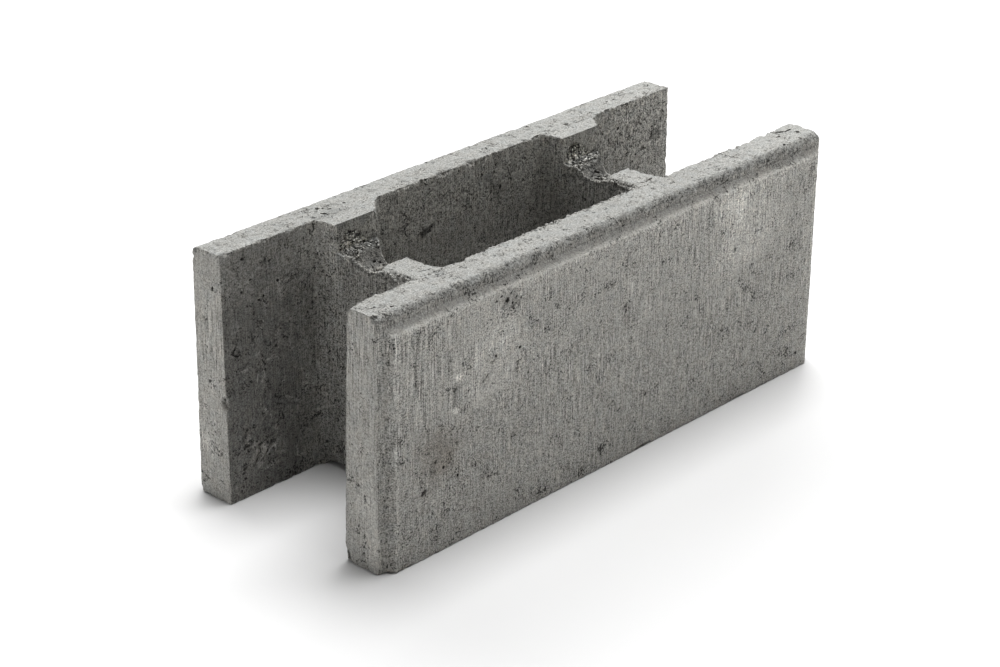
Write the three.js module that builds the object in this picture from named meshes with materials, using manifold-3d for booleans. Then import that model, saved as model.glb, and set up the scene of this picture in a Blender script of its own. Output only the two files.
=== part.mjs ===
/**
 * Formwork block: a hollow concrete block that is laid dry and filled with concrete.
 * Two long face shells stand apart, open at both ends, and two cross webs join them.
 * The block is one casting. It stands as it is laid, with the webs' rebar notches upwards.
 *
 * Millimetres, +Z up. X runs along the block, and Y across it from the front shell to
 * the rear shell. The origin is the middle of the footprint, on the bed.
 */
import * as THREE from "three";
import { mergeVertices } from "three/addons/utils/BufferGeometryUtils.js";
import Module from "manifold-3d";

// ---- Driving dimensions ------------------------------------------------------------

// The whole block.
const LENGTH = 500;
const WIDTH = 198;
const HEIGHT = 197;

// Face shells. The hollow narrows towards the foot, so that the mould's cores draw out
// upwards, and each shell is thicker at its foot.
const SHELL_TOP = 36;
const SHELL_FOOT = 40;

// Each outer face is a raised panel inside a sunk margin, along the top and both ends.
// A bevel leads from the margin up to the panel, and the panel runs down to the foot.
const MARGIN_DEPTH = 7;
const MARGIN_TOP = 10;
const MARGIN_END = 5;
const BEVEL_TOP = 4.5;
const BEVEL_END = 5.5;
const TOP_EDGE_RADIUS = 5.5;

// Cross webs: plumb walls from shell to shell, both set off by the same amount towards
// -X from the quarter points, so that the hollows line up in half bond.
const WEB_PITCH = 250;
const WEB_THICKNESS = 30;
const WEB_OFFSET = 14.5;
const WEB_DROP = 20.5;

// On its +X side a web flares out to the shells. The flare's plan is a hollow curve of
// the family (x/a)^n + (y/b)^n = 1, where n = 2 is an ellipse and n = 1 a straight bevel.
const FLARE_LENGTH = 33;
const FLARE_REACH = 42;
const FLARE_POWER = 1.3;

// On its -X side a web meets the shells in a plain fillet.
const CORNER_RADIUS = 7;

// Against the rear shell the web's end stands to full height, as a pier.
const PIER_DEPTH = 18;

// Rebar notch across the top of each web, nearer to the rear shell.
const NOTCH_RADIUS = 16;
const NOTCH_DEPTH = 11;
const NOTCH_OFFSET = 16.5;

// Under each web the foot is set back from the bed, easing down to it at the shells.
const FOOT_RELIEF = 4;
const FOOT_EASE = 15;
const FOOT_TOE = 2;

// Faceting of the curves, in segments.
const EDGE_STEPS = 8;
const CORNER_STEPS = 8;
const FLARE_STEPS = 20;
const NOTCH_STEPS = 48;
const EASE_STEPS = 8;

// How far a cutting body passes the faces that it cuts through.
const CLEAR = 20;

// ---- Sizes that follow -------------------------------------------------------------

const slabHalfWidth = WIDTH / 2 - MARGIN_DEPTH;
const gapTop = WIDTH / 2 - SHELL_TOP;
const gapFoot = WIDTH / 2 - SHELL_FOOT;
const webTop = HEIGHT - WEB_DROP;
const pierFace = gapTop - PIER_DEPTH;
const webRoot = (SHELL_TOP - MARGIN_DEPTH) / 2;

// ---- Solids ------------------------------------------------------------------------

const wasm = await Module();
wasm.setup();

/** Turns a closed three.js geometry into a solid that can be joined and cut. */
function solidOf(geometry) {
  const bare = geometry.clone();
  bare.deleteAttribute("normal");
  bare.deleteAttribute("uv");
  const merged = mergeVertices(bare, 1e-5);
  return new wasm.Manifold(
    new wasm.Mesh({
      numProp: 3,
      vertProperties: new Float32Array(merged.attributes.position.array),
      triVerts: new Uint32Array(merged.index.array),
    }),
  );
}

/** Turns a solid back into a three.js geometry. */
function geometryOf(solid) {
  const mesh = solid.getMesh();
  const geometry = new THREE.BufferGeometry();
  geometry.setAttribute("position", new THREE.BufferAttribute(mesh.vertProperties, 3));
  geometry.setIndex(new THREE.BufferAttribute(mesh.triVerts, 1));
  geometry.computeVertexNormals();
  return geometry;
}

/** Extrudes a section drawn in Y and Z along X, from one X to another. */
function extrudeAlongX(section, fromX, toX) {
  const geometry = new THREE.ExtrudeGeometry(section, {
    depth: toX - fromX,
    bevelEnabled: false,
    curveSegments: NOTCH_STEPS,
  });
  const yzToX = new THREE.Matrix4().makeBasis(
    new THREE.Vector3(0, 1, 0),
    new THREE.Vector3(0, 0, 1),
    new THREE.Vector3(1, 0, 0),
  );
  return geometry.applyMatrix4(yzToX).translate(fromX, 0, 0);
}

/**
 * Joins closed rings of equally many points into one closed body. Each ring is an
 * outline of Vector2, counter-clockwise, and place puts a point of ring i in space.
 */
function loft(rings, place) {
  const count = rings[0].length;
  const last = rings.length - 1;
  const positions = rings.flatMap((ring, i) => ring.flatMap((point) => place(point, i)));
  const index = [];
  for (let i = 0; i < last; i += 1) {
    for (let j = 0; j < count; j += 1) {
      const next = (j + 1) % count;
      const [a, b] = [i * count + j, i * count + next];
      index.push(a, b, b + count, a, b + count, a + count);
    }
  }
  for (const [a, b, c] of THREE.ShapeUtils.triangulateShape(rings[0], [])) {
    index.push(c, b, a);
  }
  for (const face of THREE.ShapeUtils.triangulateShape(rings[last], [])) {
    index.push(...face.map((corner) => last * count + corner));
  }
  const geometry = new THREE.BufferGeometry();
  geometry.setAttribute("position", new THREE.Float32BufferAttribute(positions, 3));
  geometry.setIndex(index);
  return geometry;
}

// ---- Shells ------------------------------------------------------------------------

/** The block between its two sunk margins, with the long top edges rounded over. */
function slab() {
  const edge = (sign, from, to) =>
    new THREE.Path().absarc(
      sign * (slabHalfWidth - TOP_EDGE_RADIUS),
      HEIGHT - TOP_EDGE_RADIUS,
      TOP_EDGE_RADIUS,
      from,
      to,
    ).getPoints(EDGE_STEPS);
  const section = new THREE.Shape([
    new THREE.Vector2(-slabHalfWidth, 0),
    new THREE.Vector2(slabHalfWidth, 0),
    ...edge(1, 0, Math.PI / 2),
    ...edge(-1, Math.PI / 2, Math.PI),
  ]);
  return extrudeAlongX(section, -LENGTH / 2, LENGTH / 2);
}

/** The raised panel of one outer face. Side is +1 for the rear face and -1 for the front. */
function panel(side) {
  const outline = (bevelEnd, bevelTop) => {
    const halfLength = LENGTH / 2 - MARGIN_END - bevelEnd;
    const top = HEIGHT - MARGIN_TOP - bevelTop;
    return [
      new THREE.Vector2(-halfLength, 0),
      new THREE.Vector2(halfLength, 0),
      new THREE.Vector2(halfLength, top),
      new THREE.Vector2(-halfLength, top),
    ];
  };
  const rings = [outline(0, 0), outline(0, 0), outline(BEVEL_END, BEVEL_TOP)];
  const depths = [slabHalfWidth - MARGIN_DEPTH, slabHalfWidth, WIDTH / 2];
  return loft(rings, (point, i) => [-side * point.x, side * depths[i], point.y]);
}

/** The hollow between the shells, without the webs. */
function hollow() {
  const draft = (gapTop - gapFoot) / HEIGHT;
  const [below, above] = [gapFoot - draft * CLEAR, gapTop + draft * CLEAR];
  const section = new THREE.Shape([
    new THREE.Vector2(-below, -CLEAR),
    new THREE.Vector2(below, -CLEAR),
    new THREE.Vector2(above, HEIGHT + CLEAR),
    new THREE.Vector2(-above, HEIGHT + CLEAR),
  ]);
  return extrudeAlongX(section, -LENGTH / 2 - CLEAR, LENGTH / 2 + CLEAR);
}

// ---- Webs --------------------------------------------------------------------------

/** The fillet of the web's -X face, from the web round to the rear shell. */
function cornerCurve(left, gap) {
  const centre = new THREE.Vector2(left - CORNER_RADIUS, gap - CORNER_RADIUS);
  return Array.from({ length: CORNER_STEPS + 1 }, (_, i) => {
    const angle = (Math.PI / 2) * (i / CORNER_STEPS);
    return new THREE.Vector2(Math.cos(angle), Math.sin(angle))
      .multiplyScalar(CORNER_RADIUS)
      .add(centre);
  });
}

/** The flare of the web's +X face, from the web round to the rear shell. */
function flareCurve(right, gap) {
  return Array.from({ length: FLARE_STEPS + 1 }, (_, i) => {
    const angle = (Math.PI / 2) * (i / FLARE_STEPS);
    return new THREE.Vector2(
      right + FLARE_LENGTH * (1 - Math.cos(angle) ** (2 / FLARE_POWER)),
      gap + FLARE_REACH * (Math.sin(angle) ** (2 / FLARE_POWER) - 1),
    );
  });
}

/** A web's plan at a level where the shells' inner faces stand gap from the middle. */
function webPlan(left, gap) {
  const right = left + WEB_THICKNESS;
  const corner = cornerCurve(left, gap);
  const flare = flareCurve(right, gap);
  const rear = [
    ...flare,
    new THREE.Vector2(right + FLARE_LENGTH, gap + webRoot),
    new THREE.Vector2(left - CORNER_RADIUS, gap + webRoot),
    ...corner.reverse(),
  ];
  const front = rear.map((point) => new THREE.Vector2(point.x, -point.y)).reverse();
  return [...rear, ...front];
}

/** What is taken off a web's top: the drop below the shells, and the rebar notch. */
function topCut(fromX, toX) {
  const rise = Math.sqrt(Math.max(0, NOTCH_RADIUS ** 2 - (NOTCH_RADIUS - NOTCH_DEPTH) ** 2));
  const centre = new THREE.Vector2(NOTCH_OFFSET, webTop - NOTCH_DEPTH + NOTCH_RADIUS);
  const half = Math.atan2(rise, NOTCH_RADIUS - NOTCH_DEPTH);
  const down = -Math.PI / 2;
  const notch = new THREE.Path().absarc(
    centre.x, centre.y, NOTCH_RADIUS, down - half, down + half,
  ).getPoints(NOTCH_STEPS);
  const section = new THREE.Shape([
    new THREE.Vector2(-WIDTH / 2, webTop),
    ...notch,
    new THREE.Vector2(pierFace, webTop),
    new THREE.Vector2(pierFace, HEIGHT + CLEAR),
    new THREE.Vector2(-WIDTH / 2, HEIGHT + CLEAR),
  ]);
  return extrudeAlongX(section, fromX, toX);
}

/** What is taken off a web's foot, a shallow recess that eases down to both shells. */
function footCut(fromX, toX) {
  const toe = gapFoot - FOOT_TOE;
  const rear = Array.from({ length: EASE_STEPS + 1 }, (_, i) => {
    const angle = (Math.PI / 2) * (i / EASE_STEPS);
    return new THREE.Vector2(
      toe - FOOT_EASE * (1 - Math.cos(angle)),
      FOOT_RELIEF * Math.sin(angle),
    );
  });
  const front = rear.map((point) => new THREE.Vector2(-point.x, point.y)).reverse();
  const section = new THREE.Shape([
    new THREE.Vector2(-toe, -CLEAR),
    new THREE.Vector2(toe, -CLEAR),
    ...rear,
    ...front,
  ]);
  return extrudeAlongX(section, fromX, toX);
}

/** One web, its -X face at left, with its ends rooted in the shells. */
function web(left) {
  const [fromX, toX] = [left - CORNER_RADIUS - CLEAR, left + WEB_THICKNESS + FLARE_LENGTH + CLEAR];
  const levels = [0, HEIGHT];
  const rings = [webPlan(left, gapFoot), webPlan(left, gapTop)];
  return solidOf(loft(rings, (point, i) => [point.x, point.y, levels[i]]))
    .subtract(solidOf(topCut(fromX, toX)))
    .subtract(solidOf(footCut(fromX, toX)));
}

// ---- The block ---------------------------------------------------------------------

const webLefts = [-1, 1].map(
  (side) => (side * WEB_PITCH) / 2 - WEB_OFFSET - WEB_THICKNESS / 2,
);

const block = solidOf(slab())
  .add(solidOf(panel(-1)))
  .add(solidOf(panel(1)))
  .subtract(solidOf(hollow()));
const casting = webLefts.reduce((body, left) => body.add(web(left)), block);

const concrete = new THREE.MeshStandardMaterial({
  color: 0x92928d,
  roughness: 0.95,
  metalness: 0,
  flatShading: true,
});

const formworkBlock = new THREE.Mesh(geometryOf(casting), concrete);
formworkBlock.name = "formwork_block";

const part = new THREE.Group();
part.add(formworkBlock);

export default part;
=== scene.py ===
"""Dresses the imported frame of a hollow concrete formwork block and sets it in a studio.

The casting is built once more as one closed mesh with the frame's own section, webs and
notches, and with what pressing and handling leave on it: grain, pores, drag marks, a
honeycombed patch over each notch and worn arrises. Lengths are in metres, in the frame's
axes: X along the block, Y across it from the front shell to the rear one, Z up.
"""

import logging
import math
from collections.abc import Callable
from dataclasses import dataclass, field
from enum import Enum
from functools import partialmethod
from itertools import combinations

import bmesh
import bpy
import numpy as np
from bmesh.types import BMesh, BMFace
from bpy.types import Material, Mesh, Node, NodeTree, Object
from mathutils import Matrix, Vector


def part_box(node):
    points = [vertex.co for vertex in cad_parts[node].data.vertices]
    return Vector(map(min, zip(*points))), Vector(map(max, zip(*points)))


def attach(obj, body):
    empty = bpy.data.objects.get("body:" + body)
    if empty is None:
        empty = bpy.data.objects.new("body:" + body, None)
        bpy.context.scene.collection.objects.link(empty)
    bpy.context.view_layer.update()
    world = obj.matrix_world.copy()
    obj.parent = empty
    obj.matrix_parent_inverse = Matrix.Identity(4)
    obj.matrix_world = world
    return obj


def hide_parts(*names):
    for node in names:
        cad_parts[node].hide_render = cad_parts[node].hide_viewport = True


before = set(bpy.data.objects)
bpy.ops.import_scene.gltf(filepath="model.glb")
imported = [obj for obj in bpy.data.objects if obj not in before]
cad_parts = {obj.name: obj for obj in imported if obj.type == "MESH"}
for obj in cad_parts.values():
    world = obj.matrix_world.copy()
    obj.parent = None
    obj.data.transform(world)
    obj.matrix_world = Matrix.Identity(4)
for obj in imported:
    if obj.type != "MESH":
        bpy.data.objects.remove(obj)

Array = np.ndarray
Rng = np.random.Generator
Socket = bpy.types.NodeSocket
Value = Socket | float
Pair = tuple[float, float]
Triple = tuple[float, float, float]

MM = 0.001
NODE = "formwork_block"
BODY = "root"

# Farther from an arris than its wear, nicks and chips are felt.
FAR = 1.0

log = logging.getLogger("formwork_block")


# ---- Sizes ----


@dataclass(frozen=True)
class BlockSizes:
    """The block's sizes. The three overall sizes come from the frame.

    A shell is placed by its reach, the distance outwards from the block's middle plane.
    """

    length: float
    width: float
    height: float
    shell_top: float = 36 * MM
    shell_foot: float = 40 * MM
    margin_depth: float = 7 * MM
    margin_top: float = 10 * MM
    margin_end: float = 5 * MM
    bevel_top: float = 4.5 * MM
    bevel_end: float = 5.5 * MM
    top_radius: float = 5.5 * MM
    web_pitch: float = 250 * MM
    web_thickness: float = 30 * MM
    web_offset: float = 14.5 * MM
    web_drop: float = 20.5 * MM
    flare_length: float = 33 * MM
    flare_reach: float = 42 * MM
    flare_power: float = 1.3
    corner_radius: float = 7 * MM
    pier_depth: float = 18 * MM
    notch_radius: float = 16 * MM
    notch_depth: float = 11 * MM
    notch_offset: float = 16.5 * MM
    foot_relief: float = 4 * MM
    foot_ease: float = 15 * MM
    foot_toe: float = 2 * MM

    @classmethod
    def from_frame(cls) -> "BlockSizes":
        """Reads the overall sizes from the frame's box."""
        low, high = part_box(NODE)
        return cls(*(high - low))

    @property
    def slab_reach(self) -> float:
        """Reach of the sunk margin's surface."""
        return self.width / 2 - self.margin_depth

    @property
    def web_top(self) -> float:
        """Level of the webs' flat tops."""
        return self.height - self.web_drop

    @property
    def pier_face(self) -> float:
        """Y of the piers' faces."""
        return self.width / 2 - self.shell_top - self.pier_depth

    @property
    def web_lefts(self) -> Pair:
        """X of both webs' -X faces."""
        middle = -self.web_offset - self.web_thickness / 2
        return middle - self.web_pitch / 2, middle + self.web_pitch / 2

    def gap(self, z: Array) -> Array:
        """Reach of the shells' inner faces at a level: a straight draft from foot to top."""
        draft = (self.shell_foot - self.shell_top) / self.height
        return self.width / 2 - self.shell_foot + draft * z


# ---- Noise ----


class Noise:
    """Seeded noise on a cubic lattice, worked out for whole arrays of points at once."""

    TABLE = 8192

    def __init__(self, seed: int) -> None:
        """Fills the table of lattice values.

        Args:
            seed: any whole number; the same one gives the same noise.
        """
        rng = np.random.default_rng(seed)
        self.values = rng.uniform(-1, 1, self.TABLE).astype(np.float32)
        self.offset = rng.uniform(0, 1000, 3)

    def _at(self, corner: Array) -> Array:
        """Value of a lattice corner, from a hash of its three whole numbers."""
        x, y, z = (corner[..., i] for i in range(3))
        mixed = (x * 73856093) ^ (y * 19349663) ^ (z * 83492791)
        return self.values[(mixed ^ (mixed >> 11)) & (self.TABLE - 1)]

    def smooth(self, points: Array, size: float | Triple) -> Array:
        """Value noise from -1 to 1: lattice values blended by 6t^5 - 15t^4 + 10t^3.

        Args:
            points: positions, shape (n, 3).
            size: distance between lattice points, one number or one for each axis.

        Returns:
            One value for each point.
        """
        scaled = points / np.asarray(size) + self.offset
        low = np.floor(scaled).astype(np.int64)
        t = (scaled - low).astype(np.float32)
        t = t * t * t * (t * (t * 6 - 15) + 10)
        total = np.zeros(len(points), np.float32)
        for corner in np.ndindex(2, 2, 2):
            step = np.array(corner)
            weight = np.where(step, t, 1 - t).prod(axis=1)
            total += weight * self._at(low + step)
        return total

    def fractal(self, points: Array, size: float, octaves: int) -> Array:
        """Sum of smooth noise at size, size/2, size/4 ..., each half as strong.

        Args:
            points: positions, shape (n, 3).
            size: distance between lattice points of the slowest noise.
            octaves: how many noises are added up.

        Returns:
            One value from -1 to 1 for each point.
        """
        total = np.zeros(len(points), np.float32)
        for octave in range(octaves):
            total += self.smooth(points, size / 2**octave) / 2**octave
        return total / (2 - 2 ** (1 - octaves))


# ---- Surfaces ----


@dataclass
class Surface:
    """A closed triangulated surface, with its faces pointing out."""

    points: Array
    triangles: Array

    @classmethod
    def from_rings(cls, rings: Array) -> "Surface":
        """Joins rings of equally many points into one surface and welds what coincides.

        Args:
            rings: positions, shape (stations, points in a ring, 3). The end rings are
                drawn together onto a line, so that welding closes the ends.

        Returns:
            The closed surface.
        """
        stations, count = rings.shape[:2]
        index = np.arange(stations * count).reshape(stations, count)
        turned = np.roll(index, -1, axis=1)
        a, b, c, d = (q.ravel() for q in (index[:-1], turned[:-1], turned[1:], index[1:]))
        triangles = np.concatenate([np.stack([a, b, c], 1), np.stack([a, c, d], 1)])
        return cls(rings.reshape(-1, 3), triangles).welded()

    def welded(self, reach: float = 0.002 * MM) -> "Surface":
        """Merges points that lie on the same spot, and drops what has no area left."""
        keys = np.round(self.points / reach).astype(np.int64)
        _, first, same = np.unique(keys, axis=0, return_index=True, return_inverse=True)
        faces = same.reshape(-1)[self.triangles]
        a, b, c = faces.T
        return Surface(self.points[first], faces[(a != b) & (b != c) & (c != a)])

    def outward(self) -> "Surface":
        """Turns the faces round if the volume that they enclose is negative."""
        a, b, c = (self.points[self.triangles[:, i]] for i in range(3))
        volume = np.einsum("ij,ij->i", a, np.cross(b, c)).sum()
        return self if volume > 0 else Surface(self.points, self.triangles[:, ::-1])

    def normals(self, passes: int = 0) -> Array:
        """Unit normals at the points, averaged over the neighbours as often as asked.

        A normal is the sum of the neighbouring faces' area vectors. Each pass replaces it
        by the sum over the neighbouring faces' corners, so that it turns slowly round an
        arris and points that move along it don't cross.

        Args:
            passes: how often the normals are averaged.

        Returns:
            Unit vectors, shape (n, 3).
        """
        a, b, c = (self.points[self.triangles[:, i]] for i in range(3))
        unit = self._gathered(np.cross(b - a, c - a))
        for _ in range(passes):
            unit = self._gathered(unit[self.triangles].sum(axis=1))
        return unit

    def _gathered(self, faces: Array) -> Array:
        """Sums the triangles' vectors at their points and makes the sums unit vectors."""
        corners, count = self.triangles.T.ravel(), len(self.points)
        sums = [np.bincount(corners, np.tile(faces[:, i], 3), count) for i in range(3)]
        total = np.stack(sums, axis=1)
        return total / np.maximum(np.linalg.norm(total, axis=1, keepdims=True), 1e-12)

    def mesh(self, name: str) -> Mesh:
        """Puts the surface into a new mesh with that name.

        Args:
            name: the mesh's name.

        Returns:
            The mesh.
        """
        mesh = bpy.data.meshes.new(name)
        count = len(self.triangles)
        mesh.vertices.add(len(self.points))
        mesh.loops.add(count * 3)
        mesh.polygons.add(count)
        mesh.vertices.foreach_set("co", self.points.astype(np.float32).ravel())
        mesh.loops.foreach_set("vertex_index", self.triangles.astype(np.int32).ravel())
        mesh.polygons.foreach_set("loop_start", np.arange(0, count * 3, 3, dtype=np.int32))
        mesh.update(calc_edges=True)
        return mesh


def linked(name: str, data: bpy.types.ID) -> Object:
    """Puts a new object with that name and data into the scene."""
    item = bpy.data.objects.new(name, data)
    bpy.context.scene.collection.objects.link(item)
    return item


def ramp(value: Array, low: float, high: float) -> Array:
    """Smooth step from 0 at low to 1 at high: 3t^2 - 2t^3."""
    t = np.clip((value - low) / (high - low), 0, 1)
    return t * t * (3 - 2 * t)


def near_arris(distance: Array, reach: float) -> Array:
    """Share that fades away from an arris: e to the power of -(distance / reach)^2."""
    return np.exp(-((distance / reach) ** 2))


def spaced(start: float, stop: float, step: float) -> Array:
    """Even spacing from start to stop, both included, at about the given step."""
    return np.linspace(start, stop, max(2, round(abs(stop - start) / step) + 1))


@dataclass
class FaceShell:
    """One long shell: a closed section carried along X, with its ends drawn in flat.

    Side is -1 for the front shell and +1 for the rear one.
    """

    sizes: BlockSizes
    side: int
    along: float = 1.2 * MM
    face_step: float = 3.0 * MM
    edge_step: float = 0.9 * MM
    edge_reach: float = 21 * MM
    foot_step: float = 3.0 * MM
    foot_reach: float = 9 * MM
    arc_steps: int = 9
    roll_top: float = 1.2 * MM
    roll_end: float = 0.8 * MM
    ease_reach: float = 26 * MM
    ease_depth: float = 1.3 * MM
    pier_flare: float = 0.4
    pier_before: float = 2 * MM
    pier_within: float = 5 * MM

    def outline(self) -> tuple[Array, Array, Array]:
        """The section's outline from the outer foot over the top and back.

        Returns:
            For each point its share of the way from the inner to the outer surface, its
            level, and its reach where it lies on the rounded edge or the top (else NaN).
        """
        s = self.sizes
        spring = s.height - s.top_radius
        foot_band, top_band = self.foot_reach, s.height - self.edge_reach
        levels = np.concatenate([
            spaced(0, foot_band, self.edge_step), spaced(foot_band, top_band, self.face_step)[1:],
            spaced(top_band, spring, self.edge_step)[1:],
        ])
        angles = np.linspace(0, math.pi / 2, self.arc_steps + 1)[1:]
        round_reach = s.slab_reach - s.top_radius * (1 - np.cos(angles))
        round_level = spring + s.top_radius * np.sin(angles)
        across = spaced(round_reach[-1], s.width / 2 - s.shell_top, self.edge_step)[1:]
        above = spaced(s.height, spring, self.edge_step)[1:-1]
        foot = spaced(0, 1, self.foot_step / s.shell_foot)[1:-1]
        share = np.concatenate([
            np.ones_like(levels), np.zeros_like(round_level), np.zeros_like(across),
            np.zeros_like(above), np.zeros_like(levels), foot,
        ])
        level = np.concatenate([
            levels, round_level, np.full_like(across, s.height), above, levels[::-1],
            np.zeros_like(foot),
        ])
        fixed = np.full_like(share, np.nan)
        start = len(levels)
        fixed[start:start + len(angles) + len(across)] = np.concatenate([round_reach, across])
        return share, level, fixed

    def outer_reach(self, x: Array, z: Array) -> Array:
        """Reach of the outer surface: the margin plus the lesser of the two bevels.

        Each bevel is a smooth step with the same middle as the frame's straight ramp, and
        wider than it by the roll, so that it is worn round at the top and full at its foot.
        The panel also leans in a little on its last stretch under the bevel: by the square
        of the share of that stretch.

        Args:
            x: positions along the block.
            z: levels.

        Returns:
            The reach, with the two arguments broadcast against each other.
        """
        s = self.sizes
        end = ramp(s.length / 2 - s.margin_end - np.abs(x), -self.roll_end,
                   s.bevel_end + self.roll_end)
        top = ramp(s.height - s.margin_top - z, -self.roll_top, s.bevel_top + self.roll_top)
        lean = np.clip((z - s.height + self.ease_reach) / self.ease_reach, 0, 1) ** 2
        panel = s.margin_depth - self.ease_depth * lean
        return s.slab_reach + panel * np.minimum(end, top)

    def rings(self) -> Array:
        """Rings of the outline along X, and at each end more that shrink onto its spine.

        The spine is the section's middle line from half a thickness above the foot to
        half a thickness below the top, and a ring's points shrink straight towards it.
        """
        s = self.sizes
        share, level, fixed = self.outline()
        x = spaced(-s.length / 2, s.length / 2, self.along)[:, None]
        inner = s.gap(level)
        reach = inner + share * (self.outer_reach(x, level) - inner)
        reach = np.where(np.isnan(fixed), reach, fixed)
        body = np.stack(np.broadcast_arrays(x, self.side * reach, level), axis=-1)
        half = s.shell_top / 2
        middle = self.side * (s.slab_reach - half)
        shrink = spaced(0, 1, self.along / half)[1:, None, None]
        caps = []
        for ring in (body[0], body[-1]):
            spine = np.stack(
                [ring[:, 0], np.full(len(ring), middle), np.clip(level, half, s.height - half)],
                axis=-1,
            )
            caps.append(ring + shrink * (spine - ring))
        return np.concatenate([caps[0][::-1], body, caps[1]])

    def arris(self, points: Array) -> Array:
        """Distance to the nearest arris.

        A point on the surface is no distance from one of the end, side and level faces,
        and the second least of the three distances is how far off the next face is.

        Args:
            points: positions, shape (n, 3).

        Returns:
            One distance for each point.
        """
        s = self.sizes
        x, y, z = points.T
        reach = np.abs(y)
        end = s.length / 2 - np.abs(x)
        side = np.minimum(reach - s.gap(z), self.outer_reach(x, z) - reach)
        level = np.minimum(z, s.height - z)
        arris = np.sort(np.abs(np.stack([end, side, level])), axis=0)[1]
        return np.where(self.at_pier(points), FAR, arris)

    def at_pier(self, points: Array) -> Array:
        """Where the inner top arris runs into a pier and so isn't one.

        Args:
            points: positions, shape (n, 3).

        Returns:
            True or false for each point.
        """
        s = self.sizes
        x, y, z = points.T
        span = s.web_thickness + self.pier_flare * s.flare_length
        joined = [(x > left - self.pier_before) & (x < left + span) for left in s.web_lefts]
        inside = self.side * y < s.width / 2 - s.shell_top + self.pier_within
        return (self.side > 0) & inside & (z > s.web_top) & np.any(joined, axis=0)


@dataclass
class CrossWeb:
    """One web: its section in X and Z carried along Y, from inside one shell to the other.

    Left is the X of its -X face.
    """

    sizes: BlockSizes
    left: float
    along: float = 0.9 * MM
    face_step: float = 4.0 * MM
    fine_reach: float = 13 * MM
    root: float = 12 * MM
    overlap: float = 4 * MM
    proud: float = 0.15 * MM
    dive: float = 0.8 * MM
    pier_blur: float = 1.2 * MM
    sink: float = 6 * MM
    sink_reach: float = 2 * MM
    root_reach: float = 1 * MM
    flare_before: float = 3 * MM
    rear_stretch: float = 1.3
    lip_depth: float = 6.5 * MM
    lip_offset: float = 12 * MM
    lip_reach: float = 18 * MM
    lip_power: float = 1.6
    lip_shares: Pair = (0.02, 0.34)
    crumble_start: float = 9 * MM
    crumble_blur: float = 4 * MM
    crumble_depth: float = 4.2 * MM
    crumble_share: float = 0.19

    def stations(self) -> Array:
        """Y of the sections, closer together at the pier's face and where the web flares."""
        s = self.sizes
        last = s.width / 2 - s.shell_top + self.root
        fine = self.along / 2
        start = s.width / 2 - s.shell_foot - self.flare_before
        flare = spaced(start, last - self.root + self.root_reach, fine)
        pier = spaced(s.pier_face - self.pier_blur, s.pier_face + self.pier_blur / 4, fine / 8)
        every = np.concatenate([spaced(-last, last, self.along), flare, -flare, pier])
        return np.unique(np.round(every, 6))

    def left_side(self, y: Array, z: Array) -> Array:
        """X of the -X face: a quarter circle turns it into the shells' inner faces."""
        s = self.sizes
        t = np.clip((np.abs(y) - s.gap(z)) / s.corner_radius + 1, 0, 1)
        return self.left - s.corner_radius * (1 - np.sqrt(1 - t**2))

    def right_side(self, y: Array, z: Array) -> Array:
        """X of the +X face: a hollow curve (u^n + v^n = 1) flares it into the shells."""
        s = self.sizes
        t = np.clip((np.abs(y) - s.gap(z)) / s.flare_reach + 1, 0, 1)
        hollow = 1 - (1 - t**s.flare_power) ** (1 / s.flare_power)
        return self.left + s.web_thickness + s.flare_length * hollow

    def top(self, y: Array, share: Array | float) -> Array:
        """Level of the web's top: flat, with the notch, a crumbled edge and the pier's step.

        Args:
            y: positions across the block.
            share: share of the way from the -X face to the +X face.

        Returns:
            The level, with the two arguments broadcast against each other.
        """
        s = self.sizes
        away = y - s.notch_offset
        away = np.where(away > 0, away / self.rear_stretch, away)
        full = np.sqrt(np.maximum(s.notch_radius**2 - away**2, 0))
        arc = np.clip(full - s.notch_radius + s.notch_depth, 0, None)
        reach = np.clip(np.abs(y - self.lip_offset) / self.lip_reach, 0, 1)
        lip = self.lip_depth * (1 - reach**self.lip_power)
        behind = ramp(np.asarray(share), *self.lip_shares)
        fallen = ramp(-y, self.crumble_start - self.crumble_blur,
                      self.crumble_start + self.crumble_blur)
        edge = np.clip(1 - np.asarray(share) / self.crumble_share, 0, 1)
        rise = np.clip((y - s.pier_face + self.pier_blur) / self.pier_blur, 0, 1)
        root = s.width / 2 - s.shell_top
        inside = np.maximum(np.abs(y) - root - self.overlap * (y > 0), 0)
        dip = self.sink * np.clip(inside / self.sink_reach, 0, 1) ** 2
        over = np.clip((y - root) / self.overlap, 0, 1)
        dip = dip + (self.proud + self.dive) * over
        dip = dip - self.proud * ramp(y, root - self.root_reach, root)
        worn = lip * (1 - behind) + arc * behind + self.crumble_depth * fallen * edge
        return s.web_top - worn * (1 - rise) + s.web_drop * rise - dip

    def foot(self, y: Array) -> Array:
        """Level of the web's foot: set back, and easing down to the bed at the shells.

        Args:
            y: positions across the block.

        Returns:
            One level for each position.
        """
        s = self.sizes
        toe = s.width / 2 - s.shell_foot - s.foot_toe
        t = np.clip((toe - np.abs(y)) / s.foot_ease, 0, 1)
        inside = np.maximum(np.abs(y) - (toe + s.foot_toe), 0)
        sunk = self.sink * np.clip(inside / self.sink_reach, 0, 1)
        return s.foot_relief * np.sqrt(1 - (1 - t) ** 2) + sunk

    def rings(self) -> Array:
        """Sections up the -X face, over the top, down the +X face and back under the foot."""
        s = self.sizes
        y = self.stations()[:, None]
        knee = 1 - self.fine_reach / s.web_top
        rise = np.concatenate([
            spaced(0, knee, self.face_step / s.web_top),
            spaced(knee, 1, self.along / s.web_top)[1:],
        ])
        across = spaced(0, 1, self.along / s.web_thickness)
        low = self.foot(y)
        up_left = low + rise * (self.top(y, 0.0) - low)
        up_right = low + rise * (self.top(y, 1.0) - low)
        ridge = self.top(y, across)
        sole = np.broadcast_to(low, ridge.shape)

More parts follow.
